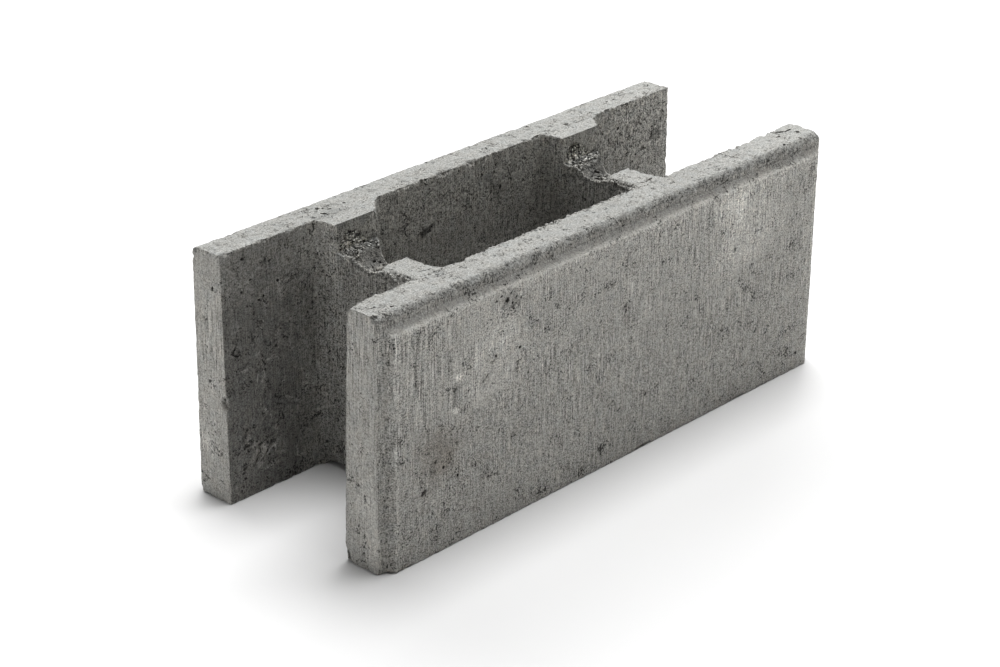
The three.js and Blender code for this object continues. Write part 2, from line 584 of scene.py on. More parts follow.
        def between(z: Array, share: Array) -> Array:
            """X at a share of the way from the -X face to the +X face."""
            left, right = self.left_side(y, z), self.right_side(y, z)
            return left + share * (right - left)

        x = np.concatenate([
            self.left_side(y, up_left),
            between(ridge, across)[:, 1:-1],
            self.right_side(y, up_right[:, ::-1]),
            between(sole, across[::-1])[:, 1:-1],
        ], axis=1)
        z = np.concatenate([up_left, ridge[:, 1:-1], up_right[:, ::-1], sole[:, 1:-1]], axis=1)
        body = np.stack([x, np.broadcast_to(y, x.shape), z], axis=-1)
        ends = []
        for ring in (body[0], body[-1]):
            flat = ring.copy()
            flat[:, 0] = self.left + s.web_thickness / 2
            low, high = ring[:, 2].min() + self.root_reach, ring[:, 2].max() - self.root_reach
            flat[:, 2] = np.clip(ring[:, 2], low, high)
            ends.append(flat.mean(axis=0, keepdims=True).repeat(len(ring), axis=0)[None])
        return np.concatenate([ends[0], body, ends[1]])

    def arris(self, points: Array) -> Array:
        """Distance to the nearest arris, from how far off the side, top and foot are.

        Args:
            points: positions, shape (n, 3).

        Returns:
            One distance for each point.
        """
        x, y, z = points.T
        left, right = self.left_side(y, z), self.right_side(y, z)
        side = np.minimum(x - left, right - x)
        share = np.clip((x - left) / (right - left), 0, 1)
        level = np.minimum(z - self.foot(y), self.top(y, share) - z)
        return np.sort(np.abs(np.stack([side, level])), axis=0)[1]


# ---- Relief ----


@dataclass(frozen=True)
class HoneycombPatch:
    """Where the concrete round a notch stayed open.

    On the pier's face it is a lopsided arch, steep on its -X side. It also takes in the
    web's top in front of the pier, more of it on that side, the notch's floor, and the
    web's crumbled -X edge, in two stretches. A pair of numbers is where a share starts and
    where it is full: along X from the web's -X face, and up or down from the web's top.
    """

    sizes: BlockSizes
    left: float
    box_before: float = 3 * MM
    box_length: float = 50 * MM
    box_under: float = 20 * MM
    box_rear: float = 5 * MM
    ragged: float = 1.6 * MM
    ragged_size: float = 6 * MM
    fine: float = 0.8 * MM
    fine_size: float = 2.2 * MM
    peak_offset: float = 16.5 * MM
    peak: float = 12.5 * MM
    steep: float = 11 * MM
    slack: float = 11 * MM
    arch_blur: float = 1.2 * MM
    arch_under: float = 6 * MM
    arch_start: Pair = (0.5 * MM, 4 * MM)
    right_inset: float = 1.5 * MM
    front: float = 11 * MM
    front_blur: float = 2 * MM
    shoulder: float = 12 * MM
    shoulder_width: float = 13 * MM
    shoulder_blur: float = 4 * MM
    floor_middle: float = 11 * MM
    floor_reach: float = 10 * MM
    floor_blur: float = 0.35
    floor_start: Pair = (10 * MM, 14 * MM)
    floor_under: Pair = (16 * MM, 12 * MM)
    floor_top: float = 6 * MM
    floor_fade: float = 3 * MM
    fallen_middle: float = -22 * MM
    fallen_reach: float = 17 * MM
    fallen_share: float = 0.38
    lip_middle: float = 16 * MM
    lip_reach: float = 22 * MM
    lip_share: float = 0.42
    edge_width: float = 5.5 * MM
    edge_blur: float = 2 * MM
    edge_under: Pair = (12 * MM, 9 * MM)
    # Bright and dark are a painted highlight on raised grains and painted shade in the gaps; dim
    # takes some highlight off in front of the pier, and the net draws painted highlight lines on
    # the notch's floor.
    bright: float = 0.75
    dark: float = 0.50
    raised: Pair = (-0.1 * MM, 1.0 * MM)
    floor_lift: float = 0.5 * MM
    side_lift: float = 0.4 * MM
    dim: float = 0.6
    dim_before: float = 12 * MM
    net: float = 0.22
    net_blur: float = 0.5
    net_size: float = 3.2 * MM
    # A painted highlight line along the notch's +X arris, and a painted shadow line beside it.
    line: float = 1.5 * MM
    rim_highlight: float = 1.5
    line_across: Pair = (8 * MM, 14 * MM)
    line_under: float = 7 * MM
    line_reach: float = 8 * MM
    line_left: float = 6 * MM
    line_right: float = 2 * MM
    line_gap: float = 1 * MM
    shade_left: float = 3 * MM
    shade: float = 0.4
    scoop_across: Pair = (17 * MM, 25 * MM)
    scoop_start: Pair = (6 * MM, 14 * MM)
    scoop_under: float = 15 * MM
    scoop_over: float = 1.5 * MM
    scoop_gap: float = 0.5 * MM

    @property
    def body(self) -> CrossWeb:
        """The web that the patch is on."""
        return CrossWeb(self.sizes, self.left)

    def arch(self, x: Array) -> Array:
        """Level of the arch's upper line over the web's top."""
        side = x - self.left - self.peak_offset
        steep = np.exp(-((np.abs(side) / self.steep) ** 4))
        slack = np.exp(-((side / self.slack) ** 2))
        return self.peak * np.where(side < 0, steep, slack)

    def near(self, points: Array) -> Array:
        """Whether points lie in the box that the whole patch keeps to."""
        s = self.sizes
        x, y, z = points.T
        along = (x > self.left - self.box_before) & (x < self.left + self.box_length)
        level = (z < s.height - self.box_before) & (z > s.web_top - self.box_under)
        return along & level & (np.abs(y) < s.pier_face + self.box_rear)

    def share(self, points: Array, noise: Noise) -> Array:
        """How far inside the patch a point lies: 1 in its middle, 0 at its ragged edge.

        Args:
            points: positions, shape (n, 3).
            noise: makes the patch's edge ragged.

        Returns:
            One share for each point.
        """
        result = np.zeros(len(points))
        near = self.near(points)
        if near.any():
            result[near] = self._share(points[near], noise)
        return result

    def _share(self, points: Array, noise: Noise) -> Array:
        """The share for points inside the patch's box.

        Args:
            points: positions, shape (n, 3).
            noise: makes the patch's edge ragged.

        Returns:
            One share for each point.
        """
        s = self.sizes
        x, y, z = points.T
        dx = x - self.left
        ragged = self.ragged * noise.fractal(points, self.ragged_size, 2)
        fine = self.fine * noise.smooth(points, self.fine_size)
        under = self.arch(x) - (z - s.web_top) + ragged + fine
        shoulder = ramp(self.shoulder_width - dx + ragged, 0, self.shoulder_blur)
        front = y - (s.pier_face - (self.front + self.shoulder * shoulder)) + ragged
        pier = ramp(under, 0, self.arch_blur) * ramp(front, 0, self.front_blur)
        pier = pier * (z > s.web_top - self.arch_under) * ramp(dx + ragged, *self.arch_start)
        across = (y - self.floor_middle + ragged) / self.floor_reach
        floor = ramp(1 - np.abs(across), 0, self.floor_blur)
        floor = floor * ramp(dx + ragged, *self.floor_start)
        floor = floor * ramp(z, *(s.web_top - under for under in self.floor_under))
        fallen = self.fallen_share * (np.abs(y - self.fallen_middle + ragged) < self.fallen_reach)
        lip = self.lip_share * (np.abs(y - self.lip_middle + ragged) < self.lip_reach)
        edge = ramp(self.edge_width - dx + ragged, 0, self.edge_blur) * np.maximum(fallen, lip)
        edge = edge * ramp(z + ragged, *(s.web_top - under for under in self.edge_under))
        inside = x < self.body.right_side(y, z) - self.right_inset
        behind = y < s.pier_face + self.box_rear
        return np.maximum(np.maximum(pier, floor), edge) * inside * behind

    def sunk(self, points: Array) -> Array:
        """Depth below the true surface of the pier's face or of the web's top and side.

        Args:
            points: positions, shape (n, 3).

        Returns:
            One depth for each point, less than 0 above the surface.
        """
        s = self.sizes
        x, y, z = points.T
        body = self.body
        left, right = body.left_side(y, z), body.right_side(y, z)
        share = np.clip((x - left) / (right - left), 0, 1)
        top = body.top(np.minimum(y, s.pier_face - body.pier_blur), share) - z
        return np.where(z > s.web_top, y - s.pier_face + body.pier_blur / 2,
                        np.minimum(top, x - left))

    def floor(self, z: Array) -> Array:
        """Share of the notch's floor at a level."""
        return ramp(self.sizes.web_top - self.floor_top - z, 0, self.floor_fade)

    def light(self, points: Array, noise: Noise, ground: Array) -> Array:
        """Factor of the tone: a painted highlight on grains that stand up, and painted shade in the
        gaps between them.

        On the notch's floor a net of painted highlight lines takes the grains' place: it lies
        where smooth noise crosses its middle.

        Args:
            points: positions on the casting.
            noise: makes the patch's edge ragged, and the net.
            ground: depth of the lumpy ground below the true surface.

        Returns:
            The factor, 1 outside the patch.
        """
        factor = np.ones(len(points))
        near = self.near(points)
        if near.any():
            inner = points[near]
            floor = self.floor(inner[:, 2])
            side = inner[:, 0] - self.left - self.peak_offset
            lift = self.side_lift * np.clip(side / self.slack, -1, 1) * (1 - floor)
            risen = ground[near] - self.sunk(inner) + self.floor_lift * floor + lift
            away = self.sizes.pier_face - self.dim_before - inner[:, 1]
            bright = self.bright * (1 - self.dim * ramp(away, 0, self.shoulder_blur))
            net = np.abs(noise.smooth(inner, self.net_size))
            line = ramp(self.net - net, 0, self.net_blur * self.net)
            up = np.maximum(ramp(risen, *self.raised) * (1 - floor), floor * line)
            factor[near] += self._share(inner, noise) * (bright * up - self.dark * (1 - up))
        return factor

    def rim(self, points: Array) -> Array:
        """Change of tone along the notch's +X arris: a painted highlight line with a line of
        painted shadow beside it.

        Args:
            points: positions, shape (n, 3).

        Returns:
            What is added to the factor of the tone, for each point.
        """
        s, body = self.sizes, self.body
        x, y, z = points.T
        right, arris = body.right_side(y, z), body.arris(points)
        notch = ramp(y, *self.line_across) * (y < s.pier_face - self.line_gap)
        notch = notch * (x < right + self.line_right) * (x > right - self.line_left)
        notch = notch * (np.abs(z - s.web_top + self.line_under) < self.line_reach)
        shade = self.shade * near_arris(arris - self.shade_left, self.line)
        return self.rim_highlight * notch * (near_arris(arris, self.line) - shade)

    def slope_shade_share(self, points: Array) -> Array:
        """Share of the painted shade on the notch's rear slope, beside the grains.

        Args:
            points: positions, shape (n, 3).

        Returns:
            One share for each point.
        """
        s = self.sizes
        x, y, z = points.T
        rear = ramp(y, *self.scoop_across) * (y < s.pier_face - self.scoop_gap)
        beside = ramp(x - self.left, *self.scoop_start) * (x < self.left + self.box_length)
        level = (z > s.web_top - self.scoop_under) * (z < s.web_top + self.scoop_over)
        return rear * beside * level


@dataclass(frozen=True)
class Mark:
    """One mark of making or handling: an ellipsoid round a place, and what it does there.

    Place and radii are in millimetres. Depth is taken off (or put on, below nothing),
    light and warm change the colour, and open is a share of the struck top's open grain.
    Core is the part of the radii over which all of that is at full strength.
    """

    place: Triple
    radii: Triple
    depth: float = 0.0
    light: float = 0.0
    warm: float = 0.0
    open: float = 0.0
    ragged: float = 0.35
    core: float = 0.35

    def share(self, points: Array, noise: Noise) -> Array:
        """1 in the ellipsoid's middle, falling off to 0 at its ragged edge.

        Args:
            points: positions, shape (n, 3).
            noise: makes the mark's edge ragged.

        Returns:
            One share for each point.
        """
        radii = np.array(self.radii) * MM
        offset = (points - np.array(self.place) * MM) / radii
        near = np.flatnonzero((np.abs(offset) < 1 + self.ragged).all(axis=1))
        away = np.linalg.norm(offset[near], axis=1)
        away += self.ragged * noise.fractal(points[near], radii.max() / 2, 3)
        share = np.zeros(len(points))
        share[near] = 1 - ramp(away, self.core, 1.0)
        return share


CORNER_CHIPS = (
    Mark((-250, -63, 197), (8, 4, 6), depth=2.0, ragged=0.1),
    Mark((-250, -92, 197), (4, 5, 4), depth=0.8),
    Mark((250, -92, 197), (6, 6, 6), depth=1.0, ragged=0.1),
    Mark((-250, 63, 197), (5, 5, 6), depth=1.2),
    Mark((-250, 62, 82), (5, 5, 6), depth=3.2),
    Mark((-250, -61, 1), (3, 5, 8), depth=2.0, ragged=0.2, warm=0.3),
    Mark((-246, -98, 0), (9, 8, 6), depth=1.0, warm=0.4),
    Mark((-232, -99, 0), (14, 6, 5), depth=0.5, warm=0.2),
    Mark((-250, 90, 0), (5, 7, 4), depth=0.8),
    Mark((30, -99, 0), (9, 6, 3), depth=1.2, warm=0.2),
    Mark((150, -99, 0), (7, 6, 3), depth=1.0),
    Mark((249, -97, 2), (5, 6, 5), depth=2.2),
)
TOP_MARKS = (
    Mark((240, -66, 197), (14, 15, 6), depth=-1.8, open=0.5),
    Mark((205, -64, 197), (9, 6, 5), depth=-0.9),
    Mark((-129, 75, 197), (12, 6, 5), depth=0.9, open=0.6),
    Mark((-146, 79, 197), (9, 5, 5), depth=0.8, open=0.6),
    Mark((70, 78, 197), (10, 6, 5), depth=0.7, open=0.5),
    Mark((10, 62.5, 197), (7, 6, 5), depth=2.4, light=-0.6),
    Mark((-20, 62.5, 197), (12, 6, 5), depth=1.8, light=-0.4),
)
FACE_MARKS = (
    Mark((150, -99, 150), (56, 12, 56), light=0.30),
    Mark((130, -99, 168), (22, 12, 15), light=0.42),
    Mark((-138, -99, 132), (56, 12, 44), light=0.22),
    Mark((-125, -99, 146), (22, 12, 14), light=0.14),
    Mark((-195, -99, 78), (28, 12, 28), light=-0.26, warm=0.22),
    Mark((-190, -99, 72), (13, 6, 11), warm=0.32),
    Mark((-126, -99, 179), (20, 12, 9), light=-0.16),
    Mark((-150, -99, 50), (30, 12, 20), light=-0.12),
    Mark((238, -99, 110), (16, 12, 100), light=0.10),
    Mark((-250, -84, 48), (4, 9, 34), light=0.30),
    Mark((-250, -80, 120), (4, 8, 26), light=0.08),
    Mark((-250, 80, 110), (4, 30, 110), light=0.10),
    Mark((-250, 88, 50), (4, 6, 18), light=0.25),
    Mark((-250, -86, 24), (4, 10, 22), light=0.30),
    Mark((-157, 46, 140), (8, 14, 56), light=0.30),
    Mark((-138, 69, 197), (16, 9, 5), light=-0.22, ragged=0.8),
    Mark((-42.6, 62, 152), (12, 6, 6), light=-0.35),
    Mark((42.6, 62, 166.5), (12, 6, 7), light=-0.35),
    Mark((-210, 62, 154), (12, 6, 8), light=-0.25),
    Mark((-228, 62, 188), (9, 6, 6), light=-0.25),
    Mark((-205, 62, 180), (8, 6, 6), light=-0.22),
    Mark((236, 62, 164), (10, 6, 12), light=-0.20),
    Mark((-124, -99, 171), (14, 6, 9), light=-0.22),
    Mark((-180, -99, 122), (7, 6, 6), light=-0.30),
    Mark((-139, -99, 133), (9, 6, 6), light=-0.20),
    Mark((-149, -99, 120), (6, 6, 8), light=-0.18),
)
SPOTS = (
    Mark((-176.7, -99, 130), (5.4, 4, 3.2), light=0.62, ragged=0.5),
    Mark((-179.6, -99, 105.8), (4, 4, 3.4), light=0.72, ragged=0.5),
    Mark((-111.2, 44.4, 187), (1.5, 1.5, 12), light=0.4, ragged=0.2),
    Mark((138.8, 44.4, 187), (1.5, 1.5, 12), light=0.4, ragged=0.2),
    Mark((-219, -99, 148), (2.2, 6, 24), light=-0.35),
    Mark((-214, -99, 132), (1.6, 6, 16), light=-0.30),
    Mark((-187, -99, 146), (1.4, 6, 15), light=-0.25),
)


@dataclass(frozen=True)
class Relief:
    """What pressing and handling leave on the casting, as depths along its normals."""

    sizes: BlockSizes
    noise: Noise
    swell: float = 0.20 * MM
    swell_size: float = 50 * MM
    facing_up: Pair = (0.5, 0.85)
    struck_under: Pair = (4 * MM, 2 * MM)
    struck_past: float = 0.5 * MM
    round_under: Pair = (1.3, 0.5)
    round_share: float = 0.8
    felt: float = 0.01
    grain: float = 0.45 * MM
    grain_size: float = 2.6 * MM
    grain_least: float = 0.8
    flake: float = 0.6 * MM
    flake_size: float = 6 * MM
    flake_levels: Pair = (0.25, 0.5)
    wear: float = 0.25 * MM
    wear_reach: float = 1.0 * MM
    nick: float = 0.9 * MM
    nick_size: float = 4 * MM
    nick_reach: float = 1.6 * MM
    nick_levels: Pair = (-0.1, 0.6)
    chip: float = 2.4 * MM
    chip_size: float = 7 * MM
    chip_reach: float = 2.6 * MM
    chip_levels: Pair = (0.25, 0.85)
    end_reach: float = 4 * MM
    end_share: float = 0.42
    end_under: float = 3 * MM
    web_under: float = 10 * MM
    top_blur: float = 6 * MM
    foot_over: Pair = (8 * MM, 14 * MM)
    foot_levels: Pair = (-9 * MM, -6 * MM)
    foot_share: float = 0.65
    lump_size: float = 1.5
    lump_share: float = 0.5
    comb_depth: float = 1.3 * MM
    comb_floor: float = 0.5
    comb_deep: float = 1.7 * MM
    deep_width: float = 20 * MM
    deep_blur: float = 6 * MM
    deep_front: float = 14 * MM
    turn_passes: int = 6
    marks: tuple[Mark, ...] = CORNER_CHIPS + TOP_MARKS

    def struck(self, points: Array, normals: Array) -> Array:
        """Share of open grain: full on struck tops and on the rounded edges beside them.

        Args:
            points: positions, shape (n, 3).
            normals: unit normals there.

        Returns:
            One share for each point.
        """
        s = self.sizes
        z = points[:, 2]
        top = ramp(normals[:, 2], *self.facing_up)
        top = top * ramp(z, *(s.web_top - under for under in self.struck_under))
        reach = np.abs(points[:, 1])
        top = top * (reach < s.slab_reach + self.struck_past)
        band = ramp(z, *(s.height - under * s.top_radius for under in self.round_under))
        return np.maximum(top, self.round_share * band * (reach > s.slab_reach - s.top_radius))

    def comb(self, points: Array) -> Array:
        """Share of the honeycombed patches."""
        patches = (HoneycombPatch(self.sizes, left) for left in self.sizes.web_lefts)
        return np.max([patch.share(points, self.noise) for patch in patches], axis=0)

    def depth(self, points: Array, normals: Array, arris: Array) -> Array:
        """Depth below the true surface, in metres.

        Slow swelling lies everywhere, grain and flakes where the top was struck off. Wear
        and nicks fade away from an arris, chips only show where slow noise is high, and both
        are fewer on upright arrises. Honeycombed patches lie deep and lumpy, and every mark
        adds its own depth.

        Args:
            points: positions, shape (n, 3).
            normals: unit normals there.
            arris: distances to the nearest arris.

        Returns:
            One depth for each point.
        """
        upright = self.upright(points)
        total = self.swell * (1 + self.noise.fractal(points, self.swell_size, 2))
        total += self._laid(self.struck(points, normals), points, self._open_grain)
        total += self._laid(near_arris(arris, self.wear_reach), points, self._wear)
        total += self._laid(near_arris(arris, self.nick_reach) * upright, points, self._nicks)
        total += self._laid(near_arris(arris, self.chip_reach) * upright, points, self._chips)
        total += self._laid(self.comb(points), points, self.lumps)
        for mark in self.marks:
            total += mark.depth * MM * mark.share(points, self.noise)
        return total

    def _laid(self, share: Array, points: Array, kind: Callable[[Array], Array]) -> Array:
        """A kind of depth times its share, worked out only where the share is felt."""
        depth = np.zeros(len(points))
        felt = share > self.felt
        depth[felt] = share[felt] * kind(points[felt])
        return depth

    def _open_grain(self, points: Array) -> Array:
        """Grain and flakes of the struck top."""
        grain = self.grain * (self.grain_least + self.noise.fractal(points, self.grain_size, 2))
        flakes = self.noise.fractal(points, self.flake_size, 3)
        return grain + self.flake * ramp(flakes, *self.flake_levels)

    def _wear(self, points: Array) -> Array:
        """Wear of an arris."""
        return self.wear * (1 + self.noise.fractal(points, 2 * self.grain_size, 3))

    def _nicks(self, points: Array) -> Array:
        """Small nicks in an arris, close together."""
        return self.nick * ramp(self.noise.fractal(points, self.nick_size, 2), *self.nick_levels)

    def _chips(self, points: Array) -> Array:
        """Larger chips, here and there."""
        return self.chip * ramp(self.noise.fractal(points, self.chip_size, 2), *self.chip_levels)

    def lumps(self, points: Array) -> Array:
        """The lumpy ground of a honeycombed patch."""
        size = self.lump_size * self.grain_size
        lumps = 1 + self.lump_share * self.noise.fractal(points, size, 2)
        floor = HoneycombPatch(self.sizes, 0.0).floor(points[:, 2])
        depth = self.comb_depth * (1 - self.comb_floor * floor)
        return lumps * (depth + self.comb_deep * self.deep_side(points))

    def upright(self, points: Array) -> Array:
        """What is left of nicks and chips away from the tops, and at the foot.

        Args:
            points: positions, shape (n, 3).

        Returns:
            One factor for each point.
        """
        s = self.sizes
        x, _, z = points.T
        at_end = s.length / 2 - np.abs(x) < self.end_reach
        top = np.where(at_end, s.height - self.end_under, s.web_top - self.web_under)
        middle = ramp(z, *self.foot_over) * ramp(top - z, 0, self.top_blur)
        foot = ramp(-z, *self.foot_levels)
        return 1 - (1 - self.end_share) * middle - (1 - self.foot_share) * foot

    def deep_side(self, points: Array) -> Array:
        """The -X part of each pier's patch, which lies deepest."""
        s = self.sizes
        x, y, _ = points.T
        near = [ramp(left + self.deep_width - x, 0, self.deep_blur) * (x > left - MM)
                for left in s.web_lefts]
        return np.max(near, axis=0) * (y > s.pier_face - self.deep_front)

    def applied(self, surface: Surface, arris: Array) -> Surface:
        """Moves each point of a surface inwards along its normal by the depth there.

        Args:
            surface: a smooth body.
            arris: its points' distances to the nearest arris.

        Returns:
            The rough surface, with the same triangles.
        """
        depth = self.depth(surface.points, surface.normals(), arris)
        way = surface.normals(self.turn_passes)
        return Surface(surface.points - way * depth[:, None], surface.triangles)


# ---- Grains, crumbs and pits ----


@dataclass
class Pebbles:
    """Many small irregular stones as one surface. Added they are grains, cut they are pits.

    Radii are half sizes along each stone's own axes, the rows of its frame.
    """

    centres: Array
    radii: Array
    frames: Array
    rough: float = 0.38
    rough_size: float = 0.8
    rings: int = 4
    spokes: int = 7

    UNEVEN = (0.7, 1.15)
    APART = 10.0

    @classmethod
    def tumbled(cls, centres: Array, radii: Array, rng: Rng) -> "Pebbles":
        """Stones at given places, turned every way, each a bit longer one way than another.

        Args:
            centres: the stones' middles, shape (n, 3).
            radii: one for each stone.
            rng: gives the turns and how uneven the stones are.

        Returns:
            The stones.
        """
        uneven = rng.uniform(*cls.UNEVEN, (len(centres), 3))
        frames = np.linalg.qr(rng.normal(size=(len(centres), 3, 3)))[0]
        frames *= np.sign(np.linalg.det(frames))[:, None, None]
        return cls(centres, radii[:, None] * uneven, frames)

    @classmethod
    def joined(cls, sets: "list[Pebbles]") -> "Pebbles":
        """Several sets of stones as one."""
        parts = ("centres", "radii", "frames")
        return cls(*(np.concatenate([getattr(each, part) for each in sets]) for part in parts))

    def surface(self, noise: Noise) -> Surface:
        """A sphere's grid of latitude and longitude, roughened and stretched per stone.

        The noise is read far apart from one stone to the next, so that no two are alike.

        Args:
            noise: roughens the stones.

        Returns:
            All the stones' closed surfaces as one.
        """
        v = np.linspace(0, math.pi, self.rings + 1)[:, None]
        u = np.arange(self.spokes) * 2 * math.pi / self.spokes
        unit = np.stack(
            np.broadcast_arrays(np.sin(v) * np.cos(u), np.sin(v) * np.sin(u), np.cos(v)), axis=-1
        )
        count = len(self.centres)
        spread = unit[None] + self.APART * np.arange(count)[:, None, None, None]
        bumps = noise.smooth(spread.reshape(-1, 3), self.rough_size).reshape(spread.shape[:3])
        local = unit * (1 + self.rough * bumps[..., None]) * self.radii[:, None, None, :]
        placed = np.einsum("nvui,nij->nvuj", local, self.frames) + self.centres[:, None, None, :]
        grid = np.arange(placed[..., 0].size).reshape(placed.shape[:3])
        turned = np.roll(grid, -1, axis=2)
        a, b = grid[:, :-1].ravel(), turned[:, :-1].ravel()
        c, d = turned[:, 1:].ravel(), grid[:, 1:].ravel()
        faces = np.concatenate([np.stack([a, c, b], 1), np.stack([a, d, c], 1)])
        return Surface(placed.reshape(-1, 3), faces).welded().outward()


@dataclass(frozen=True)
class CrumbLine:
    """A row of crumbs along an arris, thinned out by slow noise so that they gather.

    Out is the way from the block's inside past the arris. The more smaller is over 1, the
    more of the crumbs are small ones.
    """

    start: Triple
    end: Triple
    out: Triple
    share: float
    least: float
    most: float
    pitch: float = 4.4 * MM
    spread: float = 0.9 * MM
    gather: float = 1.6
    cluster: float = 30 * MM
    smaller: float = 1.6
    buried: float = 0.35

    def pebbles(self, parity: int, relief: Relief, rng: Rng) -> Pebbles:
        """Every other crumb of the row, beginning with the first or the second.

        Args:
            parity: 0 or 1.
            relief: gives the clusters, and how far the arris is worn back.
            rng: gives sizes, turns and small shifts.

        Returns:
            Crumbs that don't touch each other, each sunk a little into the worn arris.
        """
        start, end = np.array(self.start), np.array(self.end)
        out = np.array(self.out) / np.linalg.norm(self.out)
        steps = np.arange(parity, np.linalg.norm(end - start) / self.pitch, 2)
        way = (end - start) / np.linalg.norm(end - start)
        spots = start + np.outer(steps * self.pitch, way)
        spots += rng.uniform(-1, 1, (len(spots), 1)) * self.spread * way
        drift = 1 + self.gather * relief.noise.fractal(spots, self.cluster, 2)
        kept = rng.random(len(spots)) < self.share * drift
        spots = spots[kept & ~FaceShell(relief.sizes, 1).at_pier(spots)]
        radii = self.least + (self.most - self.least) * rng.random(len(spots)) ** self.smaller
        normals = np.tile(out, (len(spots), 1))
        worn = relief.depth(spots, normals, np.zeros(len(spots)))
        spots = spots - (worn + self.buried * radii)[:, None] * out
        return Pebbles.tumbled(spots, radii, rng)


@dataclass(frozen=True)
class Plane:
    """A flat rectangle of the casting: a corner, two sides and the way it faces."""

    corner: Triple
    along: Triple
    up: Triple
    out: Triple

    def cells(self, size: float) -> tuple[Array, Array]:
        """Cell corners of a square grid over the rectangle, as distances along both sides."""
        lengths = (np.linalg.norm(self.along), np.linalg.norm(self.up))
        steps = [np.arange(0, length, size) for length in lengths]
        return tuple(axis.ravel() for axis in np.meshgrid(*steps, indexing="ij"))

    def at(self, a: Array, b: Array, off: Array | float = 0.0) -> Array:
        """Points at distances along both sides and off the rectangle."""
        base, up, out = self.frame()
        off = np.broadcast_to(off, np.shape(a))
        return np.array(self.corner) + np.outer(a, base) + np.outer(b, up) + np.outer(off, out)

    def frame(self) -> Array:
        """Unit directions along, up and out, as rows."""
        rows = np.array([self.along, self.up, self.out], float)
        return rows / np.linalg.norm(rows, axis=1, keepdims=True)


@dataclass(frozen=True)
class PitField:
    """How pits are strewn over a plane: one at most in each cell of a square grid.

    Least and most are half widths, and depth is how deep a pit is for its half width. The
    more smaller is over 1, the more of the pits are small ones.
    """

    cell: float
    share: float
    least: float
    most: float
    depth: float
    gather: float = 2.4
    cluster: float = 40 * MM
    smaller: float = 2.2
    slender: float = 0.4
    uneven: Pair = (0.6, 1.2)
    sunk: float = 0.45 * MM

    def pebbles(self, plane: Plane, noise: Noise, rng: Rng) -> Pebbles:
        """Strews pits, more of them where slow noise is high.

        Args:
            plane: the face that the pits are cut into.
            noise: gives the clusters.
            rng: gives the places, sizes and turns.

        Returns:
            The stones whose shapes are the pits.
        """
        a, b = plane.cells(self.cell)
        room = (self.cell - 2 * self.most) / self.cell
        a = a + self.cell * (0.5 + room * (rng.random(len(a)) - 0.5))
        b = b + self.cell * (0.5 + room * (rng.random(len(b)) - 0.5))
        drift = 1 + self.gather * noise.fractal(plane.at(a, b), self.cluster, 2)
        kept = rng.random(len(a)) < self.share * drift
        a, b = a[kept], b[kept]
        drawn = rng.random((len(a), 1)) ** self.smaller
        size = self.least + (self.most - self.least) * drawn
        flat = size * rng.uniform(self.slender, 1.0, (len(a), 2))
        deep = size * self.depth * rng.uniform(*self.uneven, (len(a), 1))
        turn = rng.uniform(0, math.pi, len(a))
        along, up, out = plane.frame()
        c, s = np.cos(turn)[:, None], np.sin(turn)[:, None]
        frames = np.stack([c * along + s * up, c * up - s * along, np.tile(out, (len(a), 1))], 1)
        return Pebbles(plane.at(a, b, -self.sunk), np.hstack([flat, deep]), frames)


class Facing(Enum):
    """Which way a face looks: its along, up and out directions."""

    FRONT = ((1, 0, 0), (0, 0, 1), (0, -1, 0))
    END = ((0, -1, 0), (0, 0, 1), (-1, 0, 0))
    TOP = ((1, 0, 0), (0, 1, 0), (0, 0, 1))

    def turned(self, degrees: float) -> Array:
        """The three directions as rows, with the first two turned within the face."""
        along, up, out = (np.array(way, float) for way in self.value)
        c, s = math.cos(math.radians(degrees)), math.sin(math.radians(degrees))
        return np.stack([c * along + s * up, c * up - s * along, out])


@dataclass(frozen=True)
class NamedPit:
    """One pit or crack at a known place. Lengths are in millimetres, the turn in degrees."""

    place: Triple
    radii: Triple
    turn: float
    facing: Facing

    def pebble(self) -> Pebbles:
        """The stone whose shape is the pit."""
        frames = self.facing.turned(self.turn)[None]
        return Pebbles(np.array([self.place]) * MM, np.array([self.radii]) * MM, frames)


def pits_on(
    facing: Facing, level: float, deep: float, spots: tuple[tuple[float, ...], ...]
) -> tuple[NamedPit, ...]:
    """Named pits of one face.

    Args:
        facing: which way the face looks.
        level: Z of a top, or Y of an upright face.
        deep: how far each pit reaches below that.
        spots: the two places of each pit on its face, its half length and half width, and
            its turn if it has one.

    Returns:
        The pits.
    """
    top = facing is Facing.TOP
    return tuple(
        NamedPit((a, b, level) if top else (a, level, b), (long, wide, deep), sum(turn), facing)
        for a, b, long, wide, *turn in spots
    )


